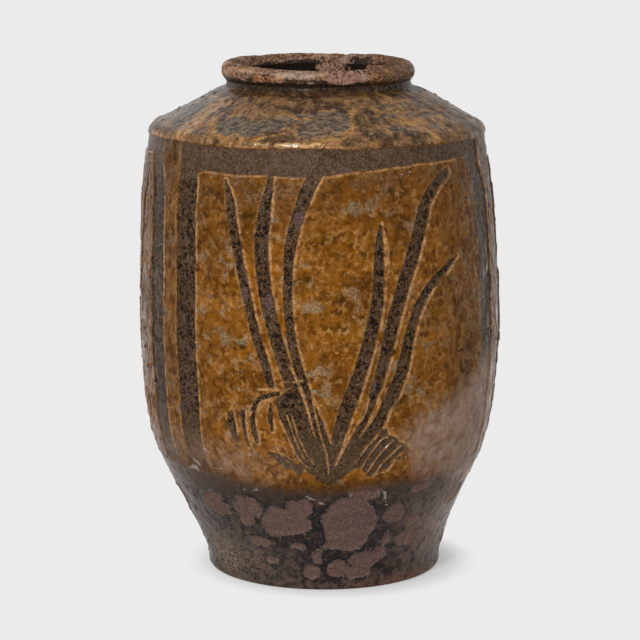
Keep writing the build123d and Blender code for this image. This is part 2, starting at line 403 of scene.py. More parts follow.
# Thin lines of light glaze left between the cuts, as (x, y, width)
RIDGES = {
    "between_leaves": [(290, 366, 2), (298, 384, 2.4), (306, 405, 2.8), (312.5, 429, 2), (315, 437, 1)],
    "between_leaves_thin": [(298.5, 382, 1), (305.5, 398, 1.2)],
    "left_root_edge": [(279.5, 420, 1.4), (288.7, 440, 2), (298.5, 459, 1.8), (307, 468, 1.2)],
    "left_root_a": [(287, 416, 1.4), (292, 431, 1.4), (298, 447, 1.6), (304, 459, 1.2)],
    "left_root_b": [(291, 415.5, 1.2), (295.5, 429, 2), (297.5, 438, 1.6)],
    "left_root_c": [(299, 439.5, 1.6), (306, 454, 1.3), (314, 465, 1)],
    "left_root_d": [(276, 440, 1.2), (278, 451, 1.2), (288, 463, 1)],
    "left_root_e": [(284.5, 447, 1.2), (290, 459, 1.2)],
    "leaf_c_foot": [(313, 402, 1.6), (317.5, 424, 1.8), (323, 443, 1.4), (327, 456, 1.6),
                    (329, 475, 1.4)],
    "triangle_left": [(324, 425, 1.6), (331.4, 444, 1.6)],
    "leaf_d_edge": [(369, 399, 2.4), (365, 414, 2.6), (352, 434, 2.6), (343, 450, 3.4), (335, 467, 2)],
    "leaf_e_edge": [(381, 400, 1.8), (376, 413, 1.8), (366.5, 428, 1.6), (360.5, 437.5, 1)],
    "leaf_f_edge": [(396.5, 402, 2), (388, 417.5, 2)],
    "leaf_d_blade": [(382.5, 223, 2.4), (386, 240, 3), (388.5, 256, 3), (389, 272, 2.2)],
    "right_root_a": [(380.5, 430.5, 2), (376, 438.5, 1.8), (367, 447.5, 1.4), (355, 465, 1)],
    "right_root_b": [(388, 437.5, 1.6), (381, 441, 1.4), (369, 456.5, 1), (361.5, 469.5, 1.2)],
    "right_root_c": [(394, 440.5, 1.6), (386.5, 447.5, 1.2), (376.5, 459.5, 1), (367.5, 473, 1.6)],
    "right_root_d": [(401, 446, 2), (392, 455, 1.4), (381, 466, 1.2), (377, 473, 2.4), (373, 477, 2)],
    "right_root_e": [(406, 449.5, 1.2), (396, 459.5, 1.4), (388.5, 470, 2.4), (377, 474, 2)],
    "arch_edge": [(272.5, 399, 2), (263.5, 403.5, 1.8), (258.5, 410.5, 1.6), (256, 418.5, 1.2)],
    "clump_a": [(229, 411, 1.2), (234, 402.5, 1.2)],
    "clump_b": [(234, 408, 1.4), (239.5, 410, 1.8), (245, 407, 1.4), (251.5, 406, 1.6)],
    "clump_c": [(251.5, 412, 1.8), (246.7, 423, 2), (249.5, 441.5, 1.6)],
    "clump_d": [(240.5, 417, 1.8), (239.6, 432, 1.2)],
    "cross_a": [(282.5, 382.5, 1.4), (294, 382.7, 1.2), (302, 381, 2.4)],
    "cross_b": [(257, 389.5, 2), (268, 389.5, 2.4), (281, 391, 1.6), (291, 388, 1.2)],
}

# The panels' dark frames: bearings of their inner edges, left and right, the front panel first,
# the width of the bands at the sides and how much a panel narrows to its upper right corner, all in
# degrees, and the heights of the frames' upper and lower edges in millimetres
PANELS = [(-41.2, 61.2), (86.0, 175.0), (203.0, 294.0)]
BAND_DEGREES = 8.7
CORNER_DEGREES = 3.6
CORNER_HEIGHTS = (318, 350)
FRAME_TOP = 362.0
FRAME_FOOT = 102.0

# Line under the band across the top of the front panel, in pixels
TOP_LINE = [(199, 171), (230, 173), (275, 176), (322, 176.5), (350, 171.5), (400, 167), (440, 161),
            (466, 155)]

# Peeled patches of the lower wall, as (x, y, half width, half height) in pixels
PATCHES = [(350, 523, 28, 26), (363, 494, 14, 11), (340, 543, 18, 8), (298, 510, 14, 11),
           (288, 524, 23, 14), (275, 528, 12, 11), (242, 508, 6, 8), (252, 508, 7, 9),
           (246, 518, 9, 10), (213, 503, 9, 10), (222, 510, 6, 4), (258, 541, 15, 5),
           (318, 559, 6, 8), (311, 572, 11, 8), (336, 571, 11, 9), (395, 515, 9, 9),
           (412, 519, 6, 6), (386, 538, 6, 9), (407, 537, 11, 7), (421, 487, 6, 4),
           (366, 560, 13, 7), (357, 573, 10, 6), (381, 551, 7, 5), (297, 547, 9, 4),
           (274, 561, 8, 4)]

# Pale crusts left on the glaze, as strokes in pixels
CRUSTS = [[(188, 468, 1), (194, 467, 3), (199, 471, 2)], [(192, 459, 1), (197, 463, 2), (200, 468, 1)],
          [(199, 447, 1), (204, 449, 2), (209, 454, 1)], [(213, 468, 0), (221, 469, 1), (229, 468, 0)],
          [(241, 489, 1), (249, 492, 2), (256, 490, 1)], [(305, 497, 1), (314, 501, 3), (325, 506, 2)],
          [(377, 486, 1), (384, 492, 2), (386, 502, 2), (388, 507, 1)], [(352, 493, 1), (350, 501, 2)]]

# Purple clay laid bare where slip and glaze are gone, as ovals in pixels
BARES = [(479, 250, 7, 30), (483, 285, 4, 12), (203, 198, 2.5, 26), (346, 173, 8, 4),
         (300, 221, 6, 8), (246, 272, 3, 9), (244, 296, 4, 8), (268, 304, 4, 9), (404, 262, 3, 9),
         (372, 385, 5, 9)]

# Slate grey scroll on the shoulder, in pixels like the patches
CLOUDS = [(232, 125, 15, 11), (252, 128, 16, 8), (272, 124, 16, 6), (292, 119, 16, 5),
          (322, 122, 20, 11), (338, 124, 13, 13), (312, 131, 16, 7), (186, 108, 22, 6),
          (166, 116, 18, 6), (205, 99, 16, 5)]

# Bright amber that ran over the shoulder and lies round the scroll, as strokes in pixels
STREAMS = [
    [(228, 103, 5), (216, 107, 10), (205, 114, 10), (193, 123, 13), (183, 132, 12), (180, 139, 6)],
    [(213, 117, 2), (212, 126, 4), (216, 134, 4), (226, 139, 1)],
    [(351, 110, 2), (351, 118, 4), (354, 126, 4), (345, 132, 4), (333, 138, 4), (321, 142, 3)],
    [(240, 140, 2), (262, 137, 3), (285, 133, 1)],
    [(286, 113, 1), (300, 119, 3), (314, 118, 2)],
    [(366, 86, 7), (364, 92, 8), (365, 98, 3)],
    [(380, 84, 5), (379, 94, 3)],
    [(352, 171.5, 1.5), (376, 170, 3), (400, 168, 4), (440, 162, 5), (465, 156, 5)],
    [(400, 118, 3), (420, 126, 5), (440, 140, 3)],
    [(150, 138, 3), (160, 142, 6), (172, 143, 4)],
]

# Stains on the lip's outer side as ovals in pixels: amber and orange, dark glaze, and pale wear with
# painted highlights on the rim's top edge
LIP_AMBER = [(226, 72, 4, 3), (240, 68, 8, 2), (257, 79, 6, 2.4), (268, 80, 4, 2), (276, 77, 3, 2),
             (329, 73, 4, 1.6), (378, 74, 6, 3), (392, 70, 6, 3), (404, 66, 8, 4), (410, 62, 5, 4)]
LIP_DARK = [(221, 77, 3, 3), (248, 80, 5, 1.4), (263, 75, 4, 0.8), (290, 81, 12, 0.9),
            (312, 82, 12, 1), (374, 82, 6, 2), (388, 79, 6, 2), (400, 75, 6, 1.6), (413, 69, 3, 3),
            (232, 81, 8, 2)]
LIP_PALE_AND_HIGHLIGHT = [(284, 74, 14, 3), (306, 76, 12, 3), (321, 74, 9, 2), (246, 71, 12, 1.6), (237, 69, 8, 1.4)]

# Dark glaze on the lip's inner side, as (bearing, height, half across, half along)
LIP_INSIDE = [(219, 411, 12, 2.5), (191, 411.5, 17, 3.2), (207, 411, 9, 2.5), (145, 414, 13, 4),
              (128, 411, 9, 3), (100, 410, 12, 3), (262, 411, 14, 3), (20, 411, 40, 3),
              (320, 411, 40, 3)]

# Outline of the pinkish haze low on the right: dust, and painted sheen where a soft reflection falls
HAZE = [(408, 436), (430, 414), (455, 398), (476, 376), (487, 358), (494, 350), (496, 390),
        (488, 430), (474, 474), (444, 474), (418, 466)]

# The shoulder's brink, where a bright line of glaze stands: a pixel on it, and the line's rise over
# that pixel's run and its half width in millimetres
BRINK_PIXEL = (285, 145.5)
BRINK_RISE = 0.9
BRINK_HALF_WIDTH = 1.5

# Height of the glaze's lower edge, as (bearing, height in millimetres)
GLAZE_EDGE = [(-180, 93), (-120, 89), (-70, 97), (-42, 98), (-10, 91), (0, 89), (30, 93), (73, 88),
              (130, 95), (180, 93)]

# Soil and wear on the glaze, as (bearing, height, spread in degrees, spread in millimetres, even
# share, cloudy share): pinkish dust with painted sheen, soot, dull glaze, ash, rust and ochre
DUST_AND_SHEEN = [(-72, 92, 14, 34, 0.5, 0), (60, 50, 20, 40, 0.75, 0), (102, 122, 20, 40, 0.45, 0.5),
        (170, 96, 22, 16, 0, 0.5), (-44, 116, 20, 16, 0, 0.6), (-27, 112, 16, 14, 0, 0.6)]
SOOT = [(-4, 62, 30, 26, 1, 0), (6, 26, 20, 16, 0.7, 0)]
DULL = [(-16, 326, 20, 13, 1, 0), (30, 338, 30, 8, 0.7, 0)]
ASH = [(-50, 22, 26, 26, 0, 1.5)]
RUST = [(46, 2, 34, 5, 0, 1.9)]
OCHRE = [(30, 384, 24, 13, 1, 0), (52, 374, 10, 9, 1, 0)]

# Bearings of the peeled patches that the photograph doesn't show, and of the stains inside the lip
BACK_PATCHES = range(62, 290, 15)
BACK_STAINS = range(75, 285, 9)


def offset_bearing(bearing):
    """Columns' bearings measured from a bearing, from -180 to 180."""
    return (BEARING - bearing + 180) % 360 - 180


def window(path, middle, spare):
    """The rows and columns round a path, the scale across, and places across and along."""
    reach = np.ptp(path[:, 0]) / 2 + 6
    columns = np.nonzero(np.abs(offset_bearing(middle)) < reach)[0]
    rows = np.nonzero((RUN > path[:, 1].min() - spare) & (RUN < path[:, 1].max() + spare))[0]
    scale = np.radians(RADIUS[rows])[:, None]
    across = offset_bearing(middle)[columns][None, :]
    return rows, columns, scale, across * scale, RUN[rows][:, None]


def from_segment(start, end, across, along):
    """Places measured from a segment: the nearest share along it, and the distance to it."""
    ahead, up = end[0] - start[0], end[1] - start[1]
    away, over = across - start[0], along - start[1]
    share = np.clip((away * ahead + over * up) / (ahead * ahead + up * up + 1e-9), 0, 1)
    return share, np.hypot(away - share * ahead, over - share * up)


def stroke_distance(path, field):
    """Lowers a field to the signed distance from a stroke given as (bearing, run, half width)."""
    path = smooth_path(path)
    middle = (path[:, 0].min() + path[:, 0].max()) / 2
    rows, columns, scale, across, along = window(path, middle, 12)
    if not len(rows) or not len(columns):
        return
    best = np.full((len(rows), len(columns)), FAR_OFF)
    for (b0, r0, w0), (b1, r1, w1) in zip(path, path[1:]):
        ends = ((b0 - middle) * scale, r0), ((b1 - middle) * scale, r1)
        share, gap = from_segment(*ends, across, along)
        best = np.minimum(best, gap - (w0 + share * (w1 - w0)))
    block = np.ix_(rows, columns)
    field[block] = np.minimum(field[block], best)


def blob_distance(bearing, run, half_across, half_along, field):
    """Lowers a field to the signed distance from an oval patch."""
    across = np.radians(offset_bearing(bearing))[None, :] * RADIUS[:, None]
    along = (RUN - run)[:, None]
    size = min(half_across, half_along)
    gap = (np.hypot(across / half_across, along / half_along) - 1) * size
    np.minimum(field, gap, out=field)


def polygon_distance(points, field):
    """Lowers a field to the signed distance from a polygon given as (bearing, run)."""
    points = np.array(points)
    middle = points[:, 0].mean()
    rows, columns, scale, across, along = window(points, middle, 8)
    best = np.full((len(rows), len(columns)), FAR_OFF)
    inside = np.zeros(best.shape, bool)
    for (b0, r0), (b1, r1) in zip(points, np.roll(points, -1, axis=0)):
        start, end = ((b0 - middle) * scale, r0), ((b1 - middle) * scale, r1)
        best = np.minimum(best, from_segment(start, end, across, along)[1])
        crossing = start[0] + (along - r0) * (end[0] - start[0]) / (r1 - r0 + 1e-9)
        inside ^= ((r0 > along) != (r1 > along)) & (across < crossing)
    block = np.ix_(rows, columns)
    field[block] = np.minimum(field[block], np.where(inside, -best, best))


def oval(x, y, half_x, half_y):
    """An oval patch in pixels as (bearing, run, half across, half along) on the surface."""
    bearing, run = surface_place(x, y)
    low, high = surface_place(x, y + half_y)[1], surface_place(x, y - half_y)[1]
    left, right = surface_place(x - half_x, y)[0], surface_place(x + half_x, y)[0]
    across = math.radians(right - left) / 2 * np.interp(run, RUN, RADIUS)
    return bearing, run, across, (high - low) / 2


def placed(stroke):
    """A stroke in pixels as (bearing, run, half width in millimetres) on the surface."""
    path = []
    for x, y, width in stroke:
        bearing, run = surface_place(x, y)
        left, right = surface_place(x - width / 2, y)[0], surface_place(x + width / 2, y)[0]
        radius = np.interp(run, RUN, RADIUS)
        path.append((bearing, run, math.radians(right - left) * radius / 2))
    return path


def moved(path, panel, mirrored):
    """A front stroke or outline laid into another panel, turned over where mirrored."""
    middle, there = sum(PANELS[0]) / 2, sum(PANELS[panel]) / 2
    way = -1 if mirrored else 1
    return [((place[0] - middle) * way + there, *place[1:]) for place in path]


def panel_frames(wobble):
    """Signed distance from the dark frames round the panels, negative inside them."""
    field = np.full((ROWS, COLUMNS), FAR_OFF)
    height = HEIGHT[:, None] + wobble * 1.6
    on_wall = RUN[:, None] < RUN[STRETCHES["shoulder_cone"][0]] + 14
    places = [surface_place(x, y) for x, y in TOP_LINE]
    front = PANELS[0]
    shares = [(bearing - front[0]) / (front[1] - front[0]) for bearing, run in places]
    tops = np.interp([run for bearing, run in places], RUN, HEIGHT)
    for left, right in PANELS:
        middle, half = (left + right) / 2, (right - left) / 2
        away = offset_bearing(middle)
        top = np.interp((away + half) / (2 * half), shares, tops)[None, :]
        pinch = CORNER_DEGREES * ramp(HEIGHT, *CORNER_HEIGHTS)[:, None] * (away > 0)[None, :]
        across = np.radians(np.abs(away)[None, :] + pinch - half) * RADIUS[:, None] + wobble
        inner = np.maximum(across, height - top)
        band = np.radians(BAND_DEGREES) * RADIUS[:, None]
        outer = np.maximum(across - band, height - FRAME_TOP)
        outer = np.maximum(outer, FRAME_FOOT - height)
        field = np.minimum(field, np.where(on_wall, np.maximum(outer, -inner), FAR_OFF))
    return field


def around(spots, cloudy=0.0):
    """Shares that fall off round the spots of one kind of soil."""
    total = 0.0
    for bearing, height, across, up, even_share, cloudy_share in spots:
        turn = offset_bearing(bearing)[None, :] / across
        fall = np.exp(-(turn**2) - ((HEIGHT[:, None] - height) / up) ** 2)
        total = total + fall * (even_share + cloudy_share * cloudy)
    return total


def facing(bearing, half_degrees):
    """1 near a bearing, and 0 away from it, a row of the grid."""
    return np.exp(-((offset_bearing(bearing) / half_degrees) ** 4))[None, :]


class Surface:
    """What the jar's outside looks like at each row and column, worked out once.

    Its fields are signed distances in millimetres, negative inside, or shares from 0 to 1.
    """

    DISTANCES = ("ridge", "peel", "cloud", "stream", "pale", "haze", "crusts", "bare")
    MARKS = ("cut", "line", "above", "peel", "cloud", "flow", "dust", "ash", "rust", "chip", "crusts",
             "bare", "dull", "soot")

    def __init__(self, sizes):
        for name in self.DISTANCES:
            setattr(self, name, np.full((ROWS, COLUMNS), FAR_OFF))
        self.cut = panel_frames(unevenness(2.2, 34, seed=11))
        self.carve()
        self.peel_and_wear()
        self.stain()
        self.stain_lip()
        self.soil()
        self.relieve(sizes)

    def carve(self):
        """Leaves, roots and ridges on the front, and like ones on the two other panels."""
        leaves = [placed(stroke) for stroke in LEAVES.values()]
        ridges = [placed(stroke) for stroke in RIDGES.values()]
        mass = [surface_place(x, y) for x, y in ROOT_MASS]
        for panel, mirrored in ((0, False), (1, True), (2, True)):
            for leaf in leaves:
                stroke_distance(moved(leaf, panel, mirrored), self.cut)
            for ridge in ridges:
                stroke_distance(moved(ridge, panel, mirrored), self.ridge)
            polygon_distance(moved(mass, panel, mirrored), self.cut)
        ragged = 1.2 + 4.0 * ramp(HEIGHT, 136, 106)[:, None]
        self.cut = self.cut + (rough_noise(5, seed=31) - 0.5) * ragged
        bearings, heights = zip(*GLAZE_EDGE)
        edge = np.interp(BEARING, bearings, heights)[None, :]
        self.above = HEIGHT[:, None] - edge + unevenness(9, 26, seed=41)

    def peel_and_wear(self):
        """Peeled patches in the dark lower wall, pale crusts and bare purple clay."""
        for patch in PATCHES:
            blob_distance(*oval(*patch), self.peel)
        chance = np.random.default_rng(5)
        for bearing in BACK_PATCHES:
            run = chance.uniform(25, 88)
            blob_distance(bearing + chance.uniform(-5, 5), run, chance.uniform(5, 18),
                          chance.uniform(5, 16), self.peel)
        self.peel += unevenness(9, 24, seed=51, octaves=2) + unevenness(9, 9, seed=53, octaves=4)
        for crust_and_glint in CRUSTS:
            stroke_distance(placed(crust_and_glint), self.crusts)
        self.crusts += (rough_noise(2.4, seed=55) - 0.42) * 5.5
        for patch in BARES:
            blob_distance(*oval(*patch), self.bare)
        self.bare += unevenness(4, 8, seed=57)

    def stain(self):
        """The cloud scroll on the shoulder, on each side of the jar, and the amber that ran."""
        for patch in CLOUDS:
            bearing, run, across, along = oval(*patch)
            for turn in (0, 120, 240):
                blob_distance(bearing + turn, run, across, along, self.cloud)
        for stream in STREAMS:
            stroke_distance(placed(stream), self.stream)

    def stain_lip(self):
        """Dark, amber and pale stains on the lip, the pale ones partly painted highlights, and its dark
        underside, dark glaze with painted shade.
        """
        for patches, field in ((LIP_DARK, self.cloud), (LIP_AMBER, self.stream), (LIP_PALE_AND_HIGHLIGHT, self.pale)):
            for patch in patches:
                blob_distance(*oval(*patch), field)
        for bearing, height, across, along in LIP_INSIDE:
            blob_distance(bearing, inner_run(height), across, along, self.cloud)
        chance = np.random.default_rng(9)
        for bearing in BACK_STAINS:
            field = (self.cloud, self.stream, self.pale)[chance.integers(3)]
            run = inner_run(419) - chance.uniform(2, 18)
            blob_distance(bearing, run, chance.uniform(3, 10), chance.uniform(1.5, 4), field)
        # The lip's underside is darkened: dark glaze with painted shade.
        row = np.arange(ROWS)
        off_lip = (row < STRETCHES["rolled_lip"][0]) | (row > TOP_ROW)
        below = HEIGHT - 406.5 + FAR_OFF * off_lip
        self.cloud = np.minimum(self.cloud, below[:, None])
        self.cloud += unevenness(5, 5, seed=61, octaves=4)

    def soil(self):
        """Shares, from 0 to 1, of the amber that ran, the dust with its painted sheen, the ash, the rust
        and the chip.
        """
        ragged = unevenness(4.5, 9, seed=65, octaves=4)
        cloudy = rough_noise(22, seed=121, octaves=4)
        self.flow = ramp(self.stream + ragged, 2.6, -2.2)
        ochre = around(OCHRE) * ramp(rough_noise(9, seed=67, octaves=4), 0.45, 0.62) * 0.8
        self.flow = np.clip(self.flow + ochre, 0, 1)
        polygon_distance([surface_place(x, y) for x, y in HAZE], self.haze)
        haze = ramp(self.haze + (cloudy - 0.5) * 34, 15, -13)
        self.dust = np.clip(haze + around(DUST_AND_SHEEN, cloudy), 0, 1)
        self.soot = np.clip(around(SOOT), 0, 1)
        self.dull = around(DULL)
        self.rust = np.clip(around(RUST, cloudy), 0, 1)
        # On the lip the pale patches, partly painted highlights, go into the ash mark.
        self.ash = np.maximum(np.clip(around(ASH, cloudy), 0, 1), ramp(self.pale + ragged, 1, -1))
        turn = math.radians(FLAKE_BEARING - 90)
        reach = LIP_CENTRE[0] / MM + LIP_WIDTH / MM / 2 - FLAKE_DEPTH + FLAKE_ROUND
        centre = np.array([reach * math.cos(turn), reach * math.sin(turn), LIP_CENTRE[1] / MM])
        self.flake = FLAKE_ROUND - np.linalg.norm(POINTS - centre, axis=-1)
        self.flake += unevenness(1.4, 5, seed=131)
        self.chip = ramp(self.flake, 0.9, 1.3)

    def raise_lines(self, glaze):
        """Shares of the fine lines beside the cuts, between the roots and on the brink."""
        breaks = ramp(solid_noise(7, seed=71), 0.24, 0.34)
        smooth = (self.cut + np.roll(self.cut, 2, 1) + np.roll(self.cut, -2, 1)) / 3
        rightward = ramp(np.roll(smooth, -3, 1) - np.roll(smooth, 3, 1), -1.5, 1.5)
        width = 0.45 + 0.65 * rightward
        edge = np.exp(-(((self.cut - 0.2 - width) / width) ** 4)) * glaze * breaks
        edge *= 0.5 + 0.5 * rightward
        edge *= (ramp(HEIGHT, 367, 364) * ramp(HEIGHT, 104, 128))[:, None]
        front = facing(-8, 19)
        edge *= 1 - 0.75 * ramp(HEIGHT, 355, 359)[:, None] * (1 - front)
        brink_run = surface_place(*BRINK_PIXEL)[1] + BRINK_RISE
        brink = np.exp(-(((RUN - brink_run) / BRINK_HALF_WIDTH) ** 4))[:, None]
        brink = brink * ramp(breaks, 0, 1) * (0.12 + 0.88 * front)
        brink = brink * ramp(rough_noise(9, seed=75, octaves=2), 0.3, 0.6)
        self.line = np.clip(np.maximum(np.maximum(edge, ramp(self.ridge, 0.5, -0.4)), brink), 0, 1)

    def relieve(self, sizes):
        """Height of the surface over the plain outline, in millimetres."""
        glaze = ramp(self.above, -1.2, 1.2)
        self.raise_lines(glaze)
        carved = ramp(self.cut, 0.5, -0.5) * glaze * (1 - ramp(self.ridge, 0.6, -0.1))
        peeled = ramp(self.peel, 0.5, -0.5) * (1 - glaze)
        skin = unevenness(0.9, 6.5, seed=81, octaves=2)
        skin += ramp(solid_noise(5, seed=83), 0.78, 0.95) * 0.7
        lumps = (rough_noise(46, seed=91) - 0.5) * sizes.lumps / MM
        throwing = (solid_noise(9, seed=95, stretch=(14, 14, 1)) - 0.5) * 0.5
        relief = lumps + throwing + skin * (1 - 0.5 * carved)
        relief += (sizes.glaze * glaze - sizes.carving * carved + sizes.lines * self.line) / MM
        relief -= sizes.peeling / MM * peeled
        relief += 0.35 * np.exp(-((self.peel / 1.2) ** 2)) * (1 - glaze)
        relief -= 1.0
        on_lip = ramp(np.arange(ROWS), *(STRETCHES["rolled_lip"][0] + np.array((-3, 3))))[:, None]
        relief = relief * (1 - on_lip) + self.lip_relief() * on_lip
        self.relief = relief * ramp(HEIGHT, -1, 4)[:, None]

    def lip_relief(self):
        """The same on the lip, which is uneven, pitted, low at the front and broken by the flake."""
        lip = unevenness(2.0, 24, seed=111) + unevenness(0.8, 5, seed=117)
        lip -= ramp(solid_noise(8, seed=103), 0.72, 0.9) * 1.2 + 0.9
        lip -= 2.6 * facing(5, 55) * ramp(HEIGHT, 408, 418)[:, None]
        return np.minimum(lip, -self.flake)


@functools.cache
def worked_surface():
    """The jar's surface, worked out when the first piece asks for it."""
    return Surface(bpy.context.scene.jar_sizes)


# Making the pieces

# Distance, in metres, under which two points are one
MERGED = 1e-6

# Marks reach this far from their edges, in millimetres, and the inside of the clay has no row
MARK_REACH = 20
NO_ROW = -1

# Faces that meet at a sharper angle than this keep their edge
SMOOTH_ANGLE = math.radians(55)


def turned(name, section, rows, closed=True, columns=COLUMNS):
    """A piece turned on the axis from a section of (radius, height) points in metres."""
    bpy.ops.object.select_all(action="DESELECT")
    bpy.ops.mesh.primitive_circle_add(vertices=len(section), radius=WALL)
    piece = bpy.context.object
    piece.name = name
    mesh = piece.data
    places = np.zeros((len(section), 3))
    places[:, 0], places[:, 2] = np.array(section).T
    mesh.vertices.foreach_set("co", places.ravel())
    mark = mesh.attributes.new("row", "FLOAT", "POINT")
    mark.data.foreach_set("value", np.array(rows, float))
    mesh.update()
    bpy.ops.object.mode_set(mode="EDIT")
    bpy.ops.mesh.select_mode(type="VERT")
    bpy.ops.mesh.select_all(action="DESELECT")
    if not closed:
        bpy.ops.object.mode_set(mode="OBJECT")
        mesh.vertices[0].select = mesh.vertices[len(section) - 1].select = True
        bpy.ops.object.mode_set(mode="EDIT")
        bpy.ops.mesh.delete(type="EDGE_FACE")
    bpy.ops.object.mode_set(mode="OBJECT")
    screw = piece.modifiers.new("turn", "SCREW")
    screw.axis = "Z"
    screw.angle = TURN
    screw.steps = screw.render_steps = columns
    screw.use_merge_vertices = True
    screw.merge_threshold = MERGED
    bpy.ops.object.modifier_apply(modifier=screw.name)
    bpy.ops.object.mode_set(mode="EDIT")
    bpy.ops.mesh.select_all(action="SELECT")
    bpy.ops.mesh.remove_doubles(threshold=MERGED)
    bpy.ops.mesh.normals_make_consistent(inside=False)
    bpy.ops.object.mode_set(mode="OBJECT")
    return piece


def dressed(piece):
    """Carves a turned piece, writes what its materials read and smooths it."""
    surface = worked_surface()
    mesh = piece.data
    count = len(mesh.vertices)
    place = np.zeros(count * 3)
    mesh.vertices.foreach_get("co", place)
    place = place.reshape(-1, 3)
    row = np.zeros(count)
    mesh.attributes["row"].data.foreach_get("value", row)
    outside = row > NO_ROW / 2
    row = np.clip(np.rint(row).astype(int), 0, ROWS - 1)
    angle = np.arctan2(place[:, 1], place[:, 0])
    column = np.rint(angle / TURN * COLUMNS).astype(int) % COLUMNS
    rise = np.where(outside, surface.relief[row, column], 0) * MM
    radial = np.column_stack([np.cos(angle), np.sin(angle)])
    place[:, :2] += radial * (rise * OUTWARD[row, 0])[:, None]
    place[:, 2] += rise * OUTWARD[row, 1]
    place[:, 0] += lean(place[:, 2])
    place = np.clip(place, CAD_LOW, CAD_HIGH)
    mesh.vertices.foreach_set("co", place.ravel())
    for name in surface.MARKS:
        values = np.clip(getattr(surface, name)[row, column], -MARK_REACH, MARK_REACH)
        layer = mesh.attributes.new(name, "FLOAT", "POINT")
        layer.data.foreach_set("value", np.where(outside, values, MARK_REACH))
    inner = mesh.attributes.new("inner", "FLOAT", "POINT")
    inner.data.foreach_set("value", np.where(outside, 0.0, 1.0))
    mesh.update()
    bpy.ops.object.shade_smooth_by_angle(angle=SMOOTH_ANGLE)


def section(node, *runs, closed=True):
    """A node's section: its stretch of the outside, and then the runs of points behind it."""
    first, last = STRETCHES[node]
    points = [tuple(point) for point in OUTER[first:last + 1]]
    rows = list(range(first, last + 1))
    for run in runs:
        points += [tuple(point) for point in run[1:]]
        rows += [NO_ROW] * (len(run) - 1)
    if closed:
        points.pop()
        rows.pop()
    return points, rows


def hollowed(low, high, hollow, count=12):
    """Points from low to high along an arc that is hollow by a depth, outward where positive."""
    low, high = np.array(low), np.array(high)
    run = high - low
    side = np.array([run[1], -run[0]]) / np.hypot(*run)
    shares = np.linspace(0, 1, count + 1)[:, None]
    return low + run * shares + side * hollow * 4 * shares * (1 - shares)


def settle(piece, node, material):
    """Dresses a piece and puts it in the place of its node."""
    dressed(piece)
    piece.data.materials.clear()
    piece.data.materials.append(material)
    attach(piece, "root")
    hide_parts(node)


# Shader sums written as Python

# Radius, in metres, at which the shoulder's streaks have the width that is asked for
STREAK_RADIUS = 0.11


class Shade:
    """One output of a coat's nodes, which adds a Math node for each sum that it is used in."""

    def __init__(self, coat, socket):
        self.coat, self.socket = coat, socket

    def __add__(self, other):
        return self.coat.maths("ADD", self, other)

    def __sub__(self, other):
        return self.coat.maths("SUBTRACT", self, other)

    def __rsub__(self, other):
        return self.coat.maths("SUBTRACT", other, self)

    def __mul__(self, other):
        return self.coat.maths("MULTIPLY", self, other)

    def __pow__(self, other):
        return self.coat.maths("POWER", self, other)

    def __truediv__(self, other):
        return self.coat.maths("DIVIDE", self, other)

    __radd__ = __add__
    __rmul__ = __mul__


